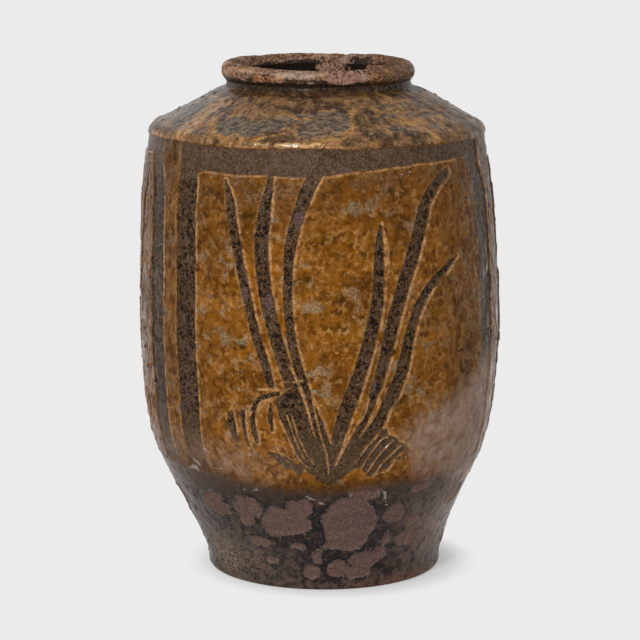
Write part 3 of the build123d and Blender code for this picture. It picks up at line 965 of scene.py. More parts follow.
class Coat:
    """The nodes of one material, or of the world."""

    def __init__(self, owner):
        self.owner, self.look = owner, bpy.context.scene.jar_look
        owner.use_nodes = True
        self.tree = owner.node_tree
        self.tree.nodes.clear()

    @functools.cached_property
    def place(self):
        """The place on the piece, in metres."""
        return self.output("TexCoord", "Object")

    def node(self, kind, settings=None, sockets=None):
        """A node, with its settings made first and then the values or links of its sockets."""
        made = self.tree.nodes.new("ShaderNode" + kind)
        for key, value in (settings or {}).items():
            setattr(made, key, value)
        for key, value in (sockets or {}).items():
            if isinstance(value, Shade):
                self.tree.links.new(value.socket, made.inputs[key])
            else:
                made.inputs[key].default_value = value
        return made

    def output(self, kind, output, settings=None, sockets=None):
        """One output of a new node."""
        return Shade(self, self.node(kind, settings, sockets).outputs[output])

    def maths(self, operation, *values):
        """A sum of numbers or outputs by a Math node."""
        return self.output("Math", 0, {"operation": operation}, dict(enumerate(values)))

    def marks(self, *names):
        """Attributes that were written on the pieces."""
        return [self.output("Attribute", "Fac", {"attribute_name": name}) for name in names]

    def axis(self, name):
        """The place along one axis, in metres."""
        return self.output("SeparateXYZ", name, None, {0: self.place})

    def spread(self, stretch):
        """The place on the piece with a pattern stretched along its axes."""
        sockets = {"Vector": self.place, "Scale": tuple(1 / share for share in stretch)}
        return self.output("Mapping", 0, {"vector_type": "POINT"}, sockets)

    def noise(self, size, detail=3.0, rough=0.55, twist=0.0, stretch=None):
        """Noise whose features are of a size in millimetres."""
        place = self.spread(stretch) if stretch else self.place
        return self.output("TexNoise", 0, {"noise_dimensions": "3D"}, {
            "Vector": place, "Scale": 1 / (size * MM), "Detail": detail,
            "Roughness": rough, "Distortion": twist,
        })

    def streaks(self, size, stretch, detail=3.0):
        """Noise drawn out down the slope of the shoulder, with a width in millimetres."""
        x, y = self.axis("X"), self.axis("Y")
        radius = (x * x + y * y + 1e-6) ** 0.5
        place = self.output("CombineXYZ", 0, None, {
            0: x / radius * STREAK_RADIUS, 1: y / radius * STREAK_RADIUS, 2: radius * (1 / stretch)})
        return self.output("TexNoise", 0, {"noise_dimensions": "3D"}, {
            "Vector": place, "Scale": 1 / (size * MM), "Detail": detail, "Roughness": 0.6,
        })

    def cracks(self, size):
        """Distance from the lines of a crackle, 0 on a line."""
        return self.output("TexVoronoi", "Distance", {"feature": "DISTANCE_TO_EDGE"}, {
            "Vector": self.place, "Scale": 1 / (size * MM), "Randomness": 1.0,
        })

    def step(self, value, low, high):
        """A smooth rise from 0 at low to 1 at high, or a fall where low is more than high."""
        if low > high:
            return 1 - self.step(value, high, low)
        return self.output("MapRange", 0, {"interpolation_type": "SMOOTHSTEP"}, {
            0: value, 1: low, 2: high, 3: 0.0, 4: 1.0,
        })

    def mix(self, share, first, second):
        """A colour between two, by a share."""
        first, second = (
            tone if isinstance(tone, Shade) else (*tuple(tone)[:3], 1.0) for tone in (first, second))
        return self.output("Mix", 2, {"data_type": "RGBA"}, {0: share, 6: first, 7: second})

    def layers(self, colour, *coats):
        """A colour under coats, each given as the share that it covers and its own colour."""
        for share, coat in coats:
            colour = self.mix(share, colour, coat)
        return colour

    def blend(self, share, first, second):
        """A number between two, by a share."""
        return self.output("Mix", 0, {"data_type": "FLOAT"}, {0: share, 2: first, 3: second})

    def shaded(self, colour, light):
        """A colour made darker or lighter by a number."""
        vector = self.output("CombineXYZ", 0, None, {0: light, 1: light, 2: light})
        return self.output("VectorMath", 0, {"operation": "MULTIPLY"}, {0: colour, 1: vector})

    def finish(self, colour, roughness, relief, gloss=0.0, specular=0.03):
        """The surface, from a colour, a roughness and a relief in millimetres."""
        bump = self.output("Bump", 0, None, {"Strength": 1.0, "Distance": MM, "Height": relief})
        skin = self.output("BsdfPrincipled", 0, None, {
            "Base Color": colour, "Roughness": roughness, "Normal": bump,
            "Specular IOR Level": specular, "Coat Weight": gloss, "Coat Roughness": 0.07,
        })
        self.node("OutputMaterial", None, {"Surface": skin})
        return self.owner


def made_once(name, make):
    """A material by its name, made when the first piece asks for it."""
    return bpy.data.materials.get(name) or make(bpy.data.materials.new(name))


def throat_colour(coat, mottle):
    """Clay inside, with dark glaze, deepened by painted shade, that ran into the neck at two places of
    the back.
    """
    look = coat.look
    clay = coat.mix(coat.step(coat.noise(2, 3, 0.6), 0.36, 0.66), look.inner_dark, look.inner_clay)
    across = coat.axis("X") * (1 / MM) + (mottle - 0.5) * 26
    runs = coat.step(across, 3, -3) + coat.step(across, 20, 26) * coat.step(across, 44, 37)
    return coat.mix(coat.maths("MINIMUM", runs, 1.0), clay, look.throat_glaze_and_shade)


class JarCoat(Coat):
    """The coat of the wall, the shoulder and the neck, with what its glazes share."""

    # Written on the pieces: millimetres from a patch's edge, negative inside, or shares up to 1
    MARKS = ("cut", "line", "above", "peel", "cloud", "crusts", "bare", "flow", "dust", "ash", "rust",
             "dull", "soot", "inner")

    # Patterns, each by what its noise is given
    PATTERNS = {
        "grain": (0.9, 2), "speck": (2.2, 3, 0.6), "fleck": (3.4, 4, 0.75),
        "spots": (4.2, 2, 0.5, 0.6), "mottle": (6.5, 2, 0.5, 0.5), "patch": (11, 3, 0.6, 0.6),
        "blots": (15, 4, 0.6, 0.8), "clump": (26, 2), "broad": (42, 3),
        "drip": (5, 2, 0.5, 0.3, (1, 1, 3)), "brushed": (2.4, 4, 0.65, 0.5, (2.4, 1.5, 1)),
    }

    def __init__(self, material):
        super().__init__(material)
        for name, mark in zip(self.MARKS, self.marks(*self.MARKS)):
            setattr(self, name, mark)
        for name, noise in self.PATTERNS.items():
            setattr(self, name, self.noise(*noise))
        self.side = self.maths("ABSOLUTE", self.axis("X"))
        self.height = self.axis("Z") * (1 / MM)
        self.peeled = self.step(self.peel, 0.35, -0.35)

    def amber_glaze(self):
        """Dark hollows, painted highlights as pale spots and side streaks, milky veils, crackle, dulled
        places and painted shade.
        """
        look, step, mix, blend = self.look, self.step, self.mix, self.blend
        grain, speck, mottle, patch = self.grain, self.speck, self.mottle, self.patch
        clump, broad = self.clump, self.broad
        veil = step(patch, 0.5, 0.64) * step(clump, 0.44, 0.58)
        crackle = step(self.cracks(2.8), 0.12, 0.02) * step(clump, 0.49, 0.56) * step(patch, 0.53, 0.6)
        dulled = mix(step(speck, 0.4, 0.62), look.crown_dark, look.crown)
        amber = self.layers(
            mix(step(mottle, 0.2, 0.64), look.amber_dark, look.amber),
            (step(broad, 0.52, 0.36) * step(patch, 0.62, 0.4) * 0.5, look.amber_dark),
            # Painted highlights: pale amber streaks down the sides and pale spots stand in for soft
            # reflections in the glaze.
            (step(self.drip, 0.48, 0.66) * step(self.side, 0.07, 0.11) * 0.45, look.amber_glint),
            (step(self.spots, 0.46, 0.7) * step(patch, 0.34, 0.58) * 0.8, look.amber_glint),
            (step(speck, 0.56, 0.7) * step(mottle, 0.4, 0.6) * 0.3, look.bloom),
            (veil * step(speck, 0.25, 0.6) * 0.8, look.bloom),
            (crackle * step(grain, 0.4, 0.6) * 0.9, look.slip_dark),
            (self.dull * step(patch, 0.3, 0.6) * 0.7, dulled),
        )
        amber = self.shaded(amber, blend(broad, 0.55, 1.45) * blend(grain, 0.68, 1.32))
        # Painted shade: the amber is made darker towards the top and towards the sides.
        top_shade, outer = step(self.height, 250, 345), step(self.side, 0.06, 0.12)
        return self.shaded(amber, blend(top_shade, 1.0, 0.72) * blend(outer, 1.0, 0.72))

    def dark_slip(self):
        """Browner among the roots, greyer and paler in places, with light specks of crust and painted
        glints, and bare patches.
        """
        look, step, mix = self.look, self.step, self.mix
        speck, fleck, height = self.speck, self.fleck, self.height
        crust_and_glint = step(self.noise(1.5, 2, 0.7), 0.57, 0.7)
        return self.layers(
            mix(step(fleck, 0.45, 0.55), look.slip_dark, look.slip),
            (step(height, 158, 116) * 0.75, mix(step(speck, 0.4, 0.62), look.slip, look.root)),
            (step(self.noise(6, 3, 0.6), 0.5, 0.62) * 0.7, look.slip_grey),
            (step(self.patch, 0.62, 0.65) * 0.85, look.bare_clay),
            (step(height, 325, 346) * 0.7, mix(step(fleck, 0.4, 0.58), look.slip, look.slip_top)),
            # Painted glints: the light specks stand partly for small reflections in the slip, partly for
            # its crust.
            (crust_and_glint * step(speck, 0.35, 0.5) * 0.7, look.crust_and_glint),
            (step(self.bare, 0.6, -0.6), mix(step(speck, 0.35, 0.65), look.bare_clay, look.peeled_dark)),
        )

    def dark_foot(self):
        """Glossy black by the peeled patches, then the patches, their rims, ash and rust."""
        look, step, mix = self.look, self.step, self.mix
        speck, mottle, height, peel, soot = self.speck, self.mottle, self.height, self.peel, self.soot
        beside = step(peel, 4.5, 1.2) * step(self.side, 0.085, 0.05)
        rim = step(peel, -0.1, 0.25) * step(peel, 0.9, 0.45) * step(self.patch, 0.5, 0.62)
        outline = step(peel, 0.1, 0.6) * step(peel, 1.6, 0.9) * step(self.noise(8, 2), 0.5, 0.6)
        return self.layers(
            mix(step(mottle, 0.36, 0.66), look.foot_dark, look.foot),
            (step(height, 88, 74) * step(mottle, 0.52, 0.38) * 0.6, look.foot_black),
            (soot * step(mottle, 0.66, 0.5) * 0.55, look.foot_dark),
            (soot * step(peel, 10.0, 3.0) * step(speck, 0.62, 0.42), look.foot_black),
            (beside * step(speck, 0.64, 0.44) * 0.8, look.foot_black),
            (self.peeled, mix(step(speck, 0.35, 0.7), look.peeled_dark, look.peeled)),
            (rim * 0.25, look.bloom),
            (step(height, 70, 92) * step(peel, 0.5, 3.0) * 0.8, look.glaze_foot),
            (self.ash * step(speck, 0.36, 0.6), look.ash),
            (self.rust * step(speck, 0.38, 0.6), look.rust),
            (outline * 0.35, look.salt),
        )

    def shoulder_glaze(self):
        """Mottled brown with pale streaks, the grey scroll, the amber that ran, and painted shade on the
        neck under the lip.
        """
        look, step, mix = self.look, self.step, self.mix
        speck, mottle, blots = self.speck, self.mottle, self.blots
        cloud, brushed = self.cloud, self.brushed
        runs = self.blend(step(self.side, 0.015, 0.06), brushed, self.streaks(3.0, 2.2, 4.0))
        lobe_edge = step(cloud, -0.8, 0.6) * step(cloud, 3.0, 1.0)
        flowing = mix(step(brushed, 0.38, 0.6), look.amber, look.flow)
        shade_under_lip = mix(step(speck, 0.42, 0.66), look.slip_dark, look.crown_dark)
        return self.layers(
            mix(step(blots, 0.4, 0.64), look.crown_dark, look.crown),
            (step(runs, 0.5, 0.6) * step(blots, 0.3, 0.55) * 0.4, look.crown_light),
            (step(blots, 0.56, 0.68) * step(mottle, 0.56, 0.42) * 0.5, look.amber),
            (step(runs, 0.46, 0.34) * 0.7, look.crown_dark),
            (step(speck, 0.56, 0.68) * step(blots, 0.36, 0.5) * 0.55, look.crown_light),
            (step(cloud, 2.2, -1.6) * 0.85, mix(step(brushed, 0.4, 0.62), look.slate_dark, look.slate)),
            (lobe_edge * step(blots, 0.46, 0.56) * 0.4, look.flow),
            (self.flow * step(runs, 0.3, 0.5) * 0.9, flowing),
            # Painted shade: the neck is darkened under the lip.
            (step(self.height + mottle * 6, 396, 404) * 0.9, shade_under_lip),
        )

    def colour(self):
        """The glazes in their places, with the bright lines, the haze of dust and painted sheen, and the
        crusts over them.
        """
        look, step, mix, blend = self.look, self.step, self.mix, self.blend
        grain, speck, mottle, dust = self.grain, self.speck, self.mottle, self.dust
        slip, foot, crown = (
            self.shaded(glaze, blend(step(grain, 0.25, 0.75), darkest, lightest))
            for glaze, darkest, lightest in (
                (self.dark_slip(), 0.55, 1.5), (self.dark_foot(), 0.72, 1.3),
                (self.shoulder_glaze(), 0.6, 1.4)))
        thread = mix(step(speck, 0.35, 0.65), look.line_dark, look.line)
        thread = mix(step(self.height, 362, 364) * step(speck, 0.38, 0.55), thread, look.brink)
        threaded = self.line * step(grain, 0.2, 0.5) * blend(step(mottle, 0.36, 0.52), 0.35, 1.0)
        hazy = step(self.patch, 0.3, 0.6) * blend(step(speck, 0.36, 0.6), 0.55, 1.0)
        # Painted sheen: the pinkish dust haze also stands in for a soft reflection low on the sides.
        gaps = step(self.drip, 0.5, 0.64) * step(dust, 1.0, 0.55)
        dust_and_sheen_share = dust * blend(step(mottle, 0.3, 0.55), 0.8, 1.0) * (1 - gaps * 0.75)
        return self.layers(
            self.amber_glaze(),
            (step(self.cut, 0.35, -0.35), slip),
            (step(self.above + mottle * 8, 20, 6) * 0.6, look.amber_dark),
            (step(self.above + mottle * 10, 11, 0), foot),
            (step(self.height + mottle * 3, 363.4, 365.4), crown),
            (threaded, thread),
            (dust_and_sheen_share, mix(hazy, look.dust_and_sheen_dark, look.dust)),
            (step(self.crusts, 0.4, -0.4) * step(grain, 0.3, 0.55), look.salt),
            (self.inner, throat_colour(self, mottle)),
        )

    def roughness(self):
        """Smoothest on the amber, and rough where the foot is peeled, on ash and inside."""
        step, blend = self.step, self.blend
        rough = blend(step(self.cut, 0.35, -0.35), 0.12, 0.14)
        rough = blend(step(self.above, 1.0, -1.0), rough, blend(self.peeled, 0.16, 0.7))
        rough = blend(step(self.height, 364, 368), rough, 0.2)
        rough = blend(self.dust * 0.8, rough, 0.5)
        rough = blend(self.ash, rough, 0.7)
        return blend(self.inner, rough, 0.75) + (self.grain - 0.5) * 0.1

    def relief(self):
        """The glaze's fine unevenness, in millimetres, with small pits."""
        grain = self.grain
        relief = self.speck * self.blend(self.step(self.cut, 0.35, -0.35), 0.45, 0.7)
        return relief + self.mottle * 1.5 + grain * 0.18 - self.step(grain, 0.66, 0.74) * 0.1

    def gloss(self):
        """The clear gloss on the lines, the dust-and-sheen haze, the foot, the amber that ran and the
        sides.
        """
        step, height = self.step, self.height
        edge = step(self.side, 0.12, 0.142)
        sheen = edge * step(height, 60, 110) * step(height, 300, 240) * step(self.drip, 0.5, 0.62)
        gloss = self.line * step(self.grain, 0.42, 0.52) * 0.5 + self.dust * 0.18
        gloss = gloss + step(self.above, 1.0, -1.0) * (1 - self.peeled) * 0.1
        gloss = gloss + (1 - edge) * 0.04 + sheen * 0.6 + step(height, 364, 366) * self.flow * 0.15
        return self.maths("MINIMUM", gloss * (1 - self.inner), 1.0)


def carved_glaze(material):
    """Amber glaze, dark slip, the dark foot and the mottled shoulder, in one coat."""
    coat = JarCoat(material)
    return coat.finish(coat.colour(), coat.roughness(), coat.relief(), coat.gloss())


def lip_clay(material):
    """Worn, unglazed clay of the lip, with remains of glaze, pale grey wear and painted highlights, and
    painted shade underneath.
    """
    coat = Coat(material)
    look, step, mix = coat.look, coat.step, coat.mix
    chip, inner, cloud, flow, pale = coat.marks("chip", "inner", "cloud", "flow", "ash")
    grain = coat.noise(0.9, 3)
    speck = coat.noise(2.0, 3, 0.6)
    mottle = coat.noise(6, 3, 0.6, 0.4)
    patch = coat.noise(14, 3, 0.6, 0.8)
    dark = step(cloud, 0.7, -0.7)
    right = step(coat.axis("X"), 0.03, 0.055) * (1 - chip) * (1 - inner)
    colour = coat.layers(
        mix(step(speck, 0.36, 0.64), look.lip_dark, look.lip),
        # Painted highlights: pale grey spots on the lip, with its pale wear.
        (step(mottle, 0.5, 0.62) * 0.5, look.lip_grey_and_highlight),
        (step(patch, 0.52, 0.6) * step(speck, 0.35, 0.6) * 0.7, look.crown),
        (pale * step(grain, 0.4, 0.55), look.lip_grey_and_highlight),
        (flow * step(speck, 0.3, 0.5) * 0.85, mix(step(mottle, 0.4, 0.6), look.ember, look.flow)),
        (step(speck, 0.42, 0.3) * step(mottle, 0.6, 0.4) * 0.8, look.foot_black),
        # The dark glaze here includes the lip's underside, darkened as painted shade.
        (dark * step(speck, 0.24, 0.46), mix(step(speck, 0.4, 0.7), look.foot_black, look.slip)),
        (chip, mix(step(speck, 0.35, 0.6), look.chip_dark, look.chip)),
        (inner, throat_colour(coat, mottle)),
        (right * step(mottle, 0.3, 0.5) * 0.75, mix(step(speck, 0.4, 0.62), look.lip_dark, look.crown)),
    )
    glazed = coat.maths("MAXIMUM", flow, dark)
    roughness = coat.blend(glazed, 0.55, 0.3) + grain * 0.14
    relief = speck * 0.9 + mottle * 1.0 + grain * 0.35
    return coat.finish(colour, roughness, relief, glazed * 0.2)


def inner_clay(material):
    """Bare clay inside the jar."""
    coat = Coat(material)
    look = coat.look
    speck, mottle = coat.noise(1.6, 3), coat.noise(9, 3)
    colour = coat.mix(coat.step(mottle, 0.38, 0.64), look.inner_clay, look.inner_dark)
    return coat.finish(colour, 0.7 + speck * 0.2, speck * 0.25 + mottle * 0.3)


# What a user of the panel may change

def paint(red, green, blue):
    """A colour written in steps up to 255, as the linear values that Blender works in."""
    shares = (red / 255, green / 255, blue / 255)
    return tuple(s / 12.92 if s < 0.04 else ((s + 0.055) / 1.055) ** 2.4 for s in shares)


def colour_value(name, description, default):
    """A colour of the panel."""
    return bpy.props.FloatVectorProperty(
        name=name, description=description, default=default, subtype="COLOR", size=3, min=0, max=1)


def length_value(name, description, default):
    """A length of the panel, with its default in millimetres."""
    return bpy.props.FloatProperty(
        name=name, description=description, default=default * MM, unit="LENGTH", min=0, max=10 * MM)


def power_value(name, description, default):
    """A lamp's power of the panel."""
    return bpy.props.FloatProperty(
        name=name, description=description, default=default, unit="POWER", min=0)


class JarSizes(bpy.types.PropertyGroup):
    """Depths of the jar's surface."""

    carving: length_value("Carving", "Depth of the slip under the amber glaze", 0.85)
    glaze: length_value("Glaze", "Thickness of the glaze over the bare foot", 0.55)
    peeling: length_value("Peeling", "Depth of the patches where the dark coat came away", 0.6)
    lines: length_value("Lines", "Height of the fine ridges beside the cuts", 0.45)
    lumps: length_value("Lumps", "Unevenness of the wall from hand to hand", 1.4)


class JarLook(bpy.types.PropertyGroup):
    """Colours of the jar's glazes and clays."""

    amber: colour_value("Amber", "Amber glaze", paint(131, 79, 15))
    amber_dark: colour_value("Dark amber", "Amber glaze where it lies thick", paint(66, 37, 5))
    # Painted highlight: the light amber makes the pale spots and side streaks that stand in for
    # reflections in the glaze.
    amber_glint: colour_value("Light amber", "Amber glaze where it lies thin", paint(172, 123, 66))
    bloom: colour_value("Bloom", "Milky bloom on the glaze", paint(150, 130, 102))
    slip: colour_value("Slip", "Dark slip in the cuts and bands", paint(78, 55, 34))
    slip_dark: colour_value("Dark slip", "Dark slip where it is thickest", paint(20, 13, 8))
    slip_grey: colour_value("Grey slip", "Worn slip in the cuts", paint(88, 68, 52))
    slip_top: colour_value("Pale slip", "Worn slip of the band under the shoulder", paint(88, 72, 60))
    bare_clay: colour_value("Bare clay", "Purple clay where the slip is gone", paint(76, 58, 55))
    # Painted glints: these light specks stand partly for small reflections in the slip.
    crust_and_glint: colour_value("Crust", "Light specks in the slip", paint(142, 118, 90))
    line: colour_value("Line", "Glaze that shines on the fine ridges", paint(198, 146, 90))
    line_dark: colour_value("Dark line", "The same where it is soiled", paint(132, 92, 54))
    brink: colour_value("Brink", "Bright line of glaze at the shoulder's brink", paint(214, 170, 112))
    foot: colour_value("Foot", "Dark coat of the lower wall", paint(84, 67, 60))
    foot_dark: colour_value("Dark foot", "The same where it is thick", paint(50, 39, 35))
    foot_black: colour_value("Black foot", "Glossy black beside the peeled patches", paint(17, 19, 23))
    peeled: colour_value("Peeled", "Clay of the peeled patches", paint(116, 92, 84))
    peeled_dark: colour_value("Peeled, dark", "The same where it is soiled", paint(94, 73, 66))
    ash: colour_value("Ash", "Greenish ash low on the left", paint(134, 116, 96))
    rust: colour_value("Rust", "Orange clay at the foot's edge", paint(118, 80, 58))
    glaze_foot: colour_value("Glaze foot", "Brown skirt under the amber's edge", paint(64, 48, 36))
    salt: colour_value("Salt", "Pale crusts on the glaze", paint(156, 146, 136))
    # Painted sheen: the dust colours also stand in for a soft reflection on the glaze low on the sides.
    dust_and_sheen_dark: colour_value("Dark dust", "The same where it is thin", paint(124, 93, 69))
    dust: colour_value("Dust", "Pinkish haze low on the wall", paint(158, 130, 111))
    crown: colour_value("Shoulder", "Mottled glaze of the shoulder", paint(133, 97, 64))
    crown_dark: colour_value("Dark shoulder", "The same in its hollows", paint(64, 46, 32))
    crown_light: colour_value("Light shoulder", "Grey bloom on the shoulder", paint(172, 139, 106))
    flow: colour_value("Flow", "Bright amber that ran down the shoulder", paint(188, 142, 84))
    lip: colour_value("Lip", "Worn clay of the lip", paint(160, 123, 102))
    lip_dark: colour_value("Dark lip", "The same where it is soiled", paint(66, 42, 28))
    # Painted highlight: the grey also lights the rim's top edge and small spots on the lip, beside the
    # pale wear.
    lip_grey_and_highlight: colour_value("Grey lip", "Pale grey wear on the lip", paint(178, 156, 140))
    ember: colour_value("Ember", "Red orange spots on the lip", paint(128, 62, 22))
    chip: colour_value("Chip", "Raw clay where the lip is broken", paint(160, 124, 108))
    chip_dark: colour_value("Dark chip", "The same in its hollows", paint(98, 66, 54))
    slate: colour_value("Slate", "Grey scroll on the shoulder", paint(130, 113, 98))
    slate_dark: colour_value("Dark slate", "The same in its hollows", paint(66, 57, 50))
    # Painted shade: the throat's near-black stands for dark glaze and the shade inside the neck.
    throat_glaze_and_shade: colour_value("Throat", "Dark glaze inside the neck", paint(30, 22, 18))
    root: colour_value("Root", "Worn brown slip among the roots", paint(90, 72, 54))
    inner_clay: colour_value("Inner clay", "Bare clay inside", paint(172, 134, 110))
    inner_dark: colour_value("Dark inside", "Soiled clay inside", paint(92, 66, 50))


class JarStage(bpy.types.PropertyGroup):
    """Light, floor and background."""

    background: colour_value("Background", "Colour behind the jar", paint(235, 235, 235))
    floor: colour_value("Floor", "Colour of the floor", paint(222, 222, 222))
    key: power_value("Key light", "Power of the soft light on the left", 31.0)
    fill: power_value("Fill light", "Power of the soft light on the right", 1.8)
    rim: power_value("Rim lights", "Power of the lights behind the sides", 1.0)
    back: power_value("Back light", "Power of the soft light behind the jar", 2.8)
    spark: power_value("Spark lights", "Power of the small lights that glint in the glaze", 2.6)
    sky: bpy.props.FloatProperty(
        name="Sky", description="Strength of the light from all round", default=0.22, subtype="FACTOR",
        min=0, max=1)


# Operators, one for each piece or group of like pieces

class JAR_OT_slab(bpy.types.Operator):
    """Make the base slab with its rounded foot"""

    bl_idname = "jar.slab"
    bl_label = "Base slab"

    def execute(self, context):
        top = [SEAMS[0], INNER_SEAMS[0]]
        floor = [INNER_SEAMS[0], (0, INNER_SEAMS[0][1])]
        points, rows = section("base_slab", even(top, count=3), even(floor, count=24), closed=False)
        underside = even([(0, 0), (OUTER[0][0], 0)], count=24)[:-1]
        points = [tuple(point) for point in underside] + points
        rows = [NO_ROW] * len(underside) + rows
        piece = turned("slab_clay", points, rows, closed=False)
        settle(piece, "base_slab", made_once("jar_coat", carved_glaze))
        return {"FINISHED"}


class JAR_OT_courses(bpy.types.Operator):
    """Make the seven courses of the wall, scarfed one on another"""

    bl_idname = "jar.courses"
    bl_label = "Wall courses"

    def execute(self, context):
        for number in range(1, COURSES + 1):
            node = f"wall_course_{number}"
            below, above = number - 1, number
            points, rows = section(
                node,
                even([SEAMS[above], INNER_SEAMS[above]], count=3),
                hollowed(INNER_SEAMS[above], INNER_SEAMS[below], -COURSE_HOLLOW),
                even([INNER_SEAMS[below], SEAMS[below]], count=3),
            )
            piece = turned(f"carved_course_{number}", points, rows)
            settle(piece, node, made_once("jar_coat", carved_glaze))
        return {"FINISHED"}


class JAR_OT_shoulder(bpy.types.Operator):
    """Make the conical shoulder with its rounded edge"""

    bl_idname = "jar.shoulder"
    bl_label = "Shoulder"

    def execute(self, context):
        points, rows = section(
            "shoulder_cone",
            even([NECK_FOOT, NECK_SEAT], count=3),
            even([NECK_SEAT, INNER_SEAMS[-1]], count=2),
            even([INNER_SEAMS[-1], SEAMS[-1]], count=3),
        )
        piece = turned("glazed_shoulder", points, rows)
        settle(piece, "shoulder_cone", made_once("jar_coat", carved_glaze))
        return {"FINISHED"}


class JAR_OT_neck(bpy.types.Operator):
    """Make the neck collar and its ridge under the lip"""

    bl_idname = "jar.neck"
    bl_label = "Neck collar"

    def execute(self, context):
        rim = (THROAT_RADIUS, LIP_CENTRE[1])
        throat_foot = (THROAT_RADIUS, LIP_CENTRE[1] - THROAT_LENGTH)
        points, rows = section(
            "neck_collar",
            even([QUIRK, NECK_RIDGE, rim], count=12),
            even([rim, throat_foot], count=14),
            even([throat_foot, NECK_SEAT], count=8),
            even([NECK_SEAT, NECK_FOOT], count=3),
        )
        piece = turned("glazed_neck", points, rows)
        settle(piece, "neck_collar", made_once("jar_coat", carved_glaze))
        return {"FINISHED"}


class JAR_OT_lip(bpy.types.Operator):
    """Make the rolled lip with its broken flake"""

    bl_idname = "jar.lip"
    bl_label = "Rolled lip"

    def execute(self, context):
        rim = (THROAT_RADIUS, LIP_CENTRE[1])
        points, rows = section("rolled_lip", even([rim, NECK_RIDGE, QUIRK], count=12))
        piece = turned("worn_lip", points, rows)
        settle(piece, "rolled_lip", made_once("lip_coat", lip_clay))
        return {"FINISHED"}


class JAR_OT_coils(bpy.types.Operator):
    """Make the coils pressed into the inner corners"""

    bl_idname = "jar.coils"
    bl_label = "Inner coils"

    def execute(self, context):
        turns = (
            ("base_coil", INNER_SEAMS[0], INNER_SEAMS[1], (0, INNER_SEAMS[0][1])),
            ("shoulder_coil", INNER_SEAMS[-1], INNER_SEAMS[-2], NECK_SEAT),
        )
        for node, corner, wall_end, seat_end in turns:
            corner, wall_end, seat_end = (np.array(point) for point in (corner, wall_end, seat_end))
            wall_way = (wall_end - corner) / np.linalg.norm(wall_end - corner)
            seat_way = (seat_end - corner) / np.linalg.norm(seat_end - corner)
            leg = COIL_LEG / math.sin(math.acos(wall_way @ seat_way)) ** 0.5
            wall_edge, seat_edge = corner + wall_way * leg, corner + seat_way * leg
            middle = (wall_edge + seat_edge) / 2
            pressed = middle + (corner - middle) * COIL_HOLLOW_SHARE
            depth = np.linalg.norm(pressed - middle) * (1 if node == "base_coil" else -1)
            face = hollowed(wall_edge, seat_edge, depth)
            points = [*even([corner, wall_edge], count=6), *face[1:],
                      *even([seat_edge, corner], count=6)[1:-1]]
            piece = turned(node + "_clay", points, [NO_ROW] * len(points), columns=COIL_COLUMNS)
            settle(piece, node, made_once("inner_coat", inner_clay))
        return {"FINISHED"}


# Lamps as (name, power's name, width and height, place), all turned to one aim, in metres
LAMPS = [
    ("key_light", "key", (0.45, 0.45), (-0.62, -1.85, 1.25)),
    ("fill_light", "fill", (0.3, 0.3), (1.0, -1.6, 1.25)),
    ("back_light", "back", (1.0, 1.0), (-0.8, 1.9, 1.3)),
    ("left_spark", "spark", (0.08, 0.08), (-1.35, -1.1, 0.9)),
    ("right_spark", "spark", (0.08, 0.08), (1.35, -0.8, 0.8)),
    ("left_rim_light", "rim", (0.2, 0.7), (-1.05, 0.95, 0.4)),
    ("right_rim_light", "rim", (0.2, 0.7), (1.05, 0.95, 0.4)),
]
LAMP_AIM = (0, 0, 0.2)

# The floor, and the soft shadow that lies on it round the jar's foot, in metres
FLOOR_RADIUS = 3.0
SHADOW_PLACE = (0.01, 0, 0)
SHADOW_REACH = (0.09, 0.125)
SHADOW_SHARE = 0.45


def soft_light(name, power, sides, place):
    """A soft light with a width and a height at a place."""
    bpy.ops.object.light_add(type="AREA", location=place)
    lamp = bpy.context.object
    lamp.name = name
    lamp.data.energy = power
    lamp.data.shape = "RECTANGLE"
    lamp.data.size, lamp.data.size_y = sides
    lamp.visible_camera = False
    way = Vector(LAMP_AIM) - Vector(place)
    lamp.rotation_euler = way.to_track_quat("-Z", "Y").to_euler()


def seen_background(coat):
    """1 for rays that look straight, by a gloss or through glass, and 0 for light on things."""
    path = coat.node("LightPath")
    straight, glossy, clear = (
        Shade(coat, path.outputs[f"Is {kind} Ray"]) for kind in ("Camera", "Glossy", "Transmission"))
    return coat.maths("MINIMUM", straight + glossy + clear, 1.0)


def set_camera(scene):
    """The camera that was fitted to the photograph."""
    bpy.ops.object.select_all(action="DESELECT")
    bpy.ops.object.camera_add(
        location=(0, -CAMERA_DISTANCE, CAMERA_HEIGHT), rotation=(TURN / 4 - CAMERA_PITCH, 0, 0))
    scene.camera = bpy.context.object
    camera = scene.camera.data
    camera.lens, camera.sensor_width = CAMERA_LENS, SENSOR
    camera.clip_start, camera.clip_end = 0.05, 50


def lay_floor(stage):
    """A round floor that is as pale as the background away from the jar's shadow."""
    bpy.ops.mesh.primitive_circle_add(vertices=128, radius=FLOOR_RADIUS, fill_type="NGON")
    floor = bpy.context.object
    floor.name = "floor"
    coat = Coat(bpy.data.materials.new("floor_paper"))
    beside = coat.output("VectorMath", 0, {"operation": "SUBTRACT"}, {0: coat.place, 1: SHADOW_PLACE})
    across = coat.output("VectorMath", "Value", {"operation": "LENGTH"}, {0: beside})
    paper = coat.output("BsdfDiffuse", 0, None, {"Color": (*stage.floor, 1.0)})
    glow = coat.output("Emission", 0, None, {"Color": (*stage.background, 1.0), "Strength": 1.0})
    far = coat.blend(coat.step(across, *SHADOW_REACH), SHADOW_SHARE, 1.0) * seen_background(coat)
    skin = coat.output("MixShader", 0, None, {0: far, 1: paper, 2: glow})
    coat.node("OutputMaterial", None, {"Surface": skin})
    floor.data.materials.append(coat.owner)


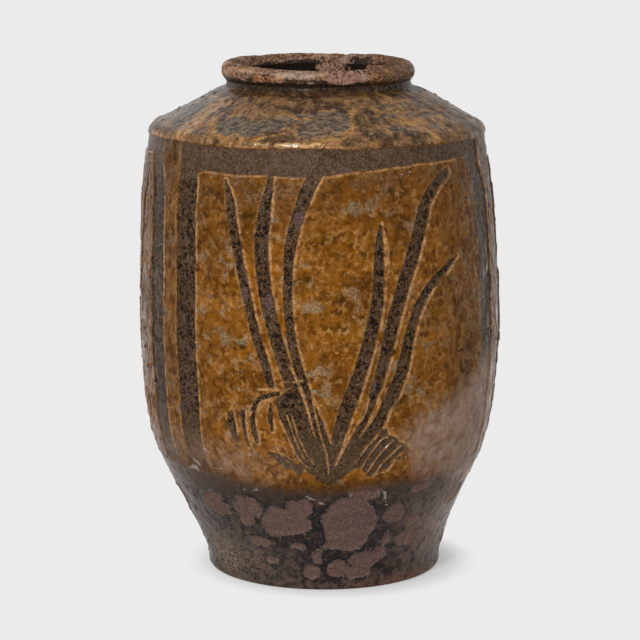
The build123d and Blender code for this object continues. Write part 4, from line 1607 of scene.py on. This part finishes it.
def hang_sky(scene, stage):
    """A world that is pale where it is seen and gives a little light from all round."""
    scene.world = bpy.data.worlds.new("studio")
    air = Coat(scene.world)
    tone = air.mix(seen_background(air), (stage.sky,) * 3, stage.background)
    sky = air.output("Background", 0, None, {"Color": tone, "Strength": 1.0})
    air.node("OutputWorld", None, {"Surface": sky})


class JAR_OT_stage(bpy.types.Operator):
    """Set the camera, the soft lights, the floor and the pale background"""

    bl_idname = "jar.stage"
    bl_label = "Stage"

    def execute(self, context):
        stage = context.scene.jar_stage
        set_camera(context.scene)
        for name, power, sides, place in LAMPS:
            soft_light(name, getattr(stage, power), sides, place)
        lay_floor(stage)
        hang_sky(context.scene, stage)
        context.scene.view_settings.view_transform = "Standard"
        return {"FINISHED"}


STEPS = (JAR_OT_slab, JAR_OT_courses, JAR_OT_shoulder, JAR_OT_neck, JAR_OT_lip, JAR_OT_coils,
         JAR_OT_stage)


class JAR_PT_panel(bpy.types.Panel):
    """Lists the jar's pieces, sizes and colours"""

    bl_idname = "JAR_PT_panel"
    bl_label = "Carved storage jar"
    bl_space_type = "VIEW_3D"
    bl_region_type = "UI"
    bl_category = "Jar"

    def draw(self, context):
        scene = context.scene
        for group in (scene.jar_sizes, scene.jar_look, scene.jar_stage):
            box = self.layout.box()
            for name in group.__annotations__:
                box.prop(group, name)
        for step in STEPS:
            self.layout.operator(step.bl_idname)


CLASSES = (JarSizes, JarLook, JarStage, *STEPS, JAR_PT_panel)


def register():
    for kind in CLASSES:
        bpy.utils.register_class(kind)
    bpy.types.Scene.jar_sizes = bpy.props.PointerProperty(type=JarSizes)
    bpy.types.Scene.jar_look = bpy.props.PointerProperty(type=JarLook)
    bpy.types.Scene.jar_stage = bpy.props.PointerProperty(type=JarStage)


def unregister():
    del bpy.types.Scene.jar_sizes, bpy.types.Scene.jar_look, bpy.types.Scene.jar_stage
    for kind in reversed(CLASSES):
        bpy.utils.unregister_class(kind)


def main():
    register()
    bpy.ops.jar.slab()
    bpy.ops.jar.courses()
    bpy.ops.jar.shoulder()
    bpy.ops.jar.neck()
    bpy.ops.jar.lip()
    bpy.ops.jar.coils()
    bpy.ops.jar.stage()


if __name__ == "__main__":
    main()
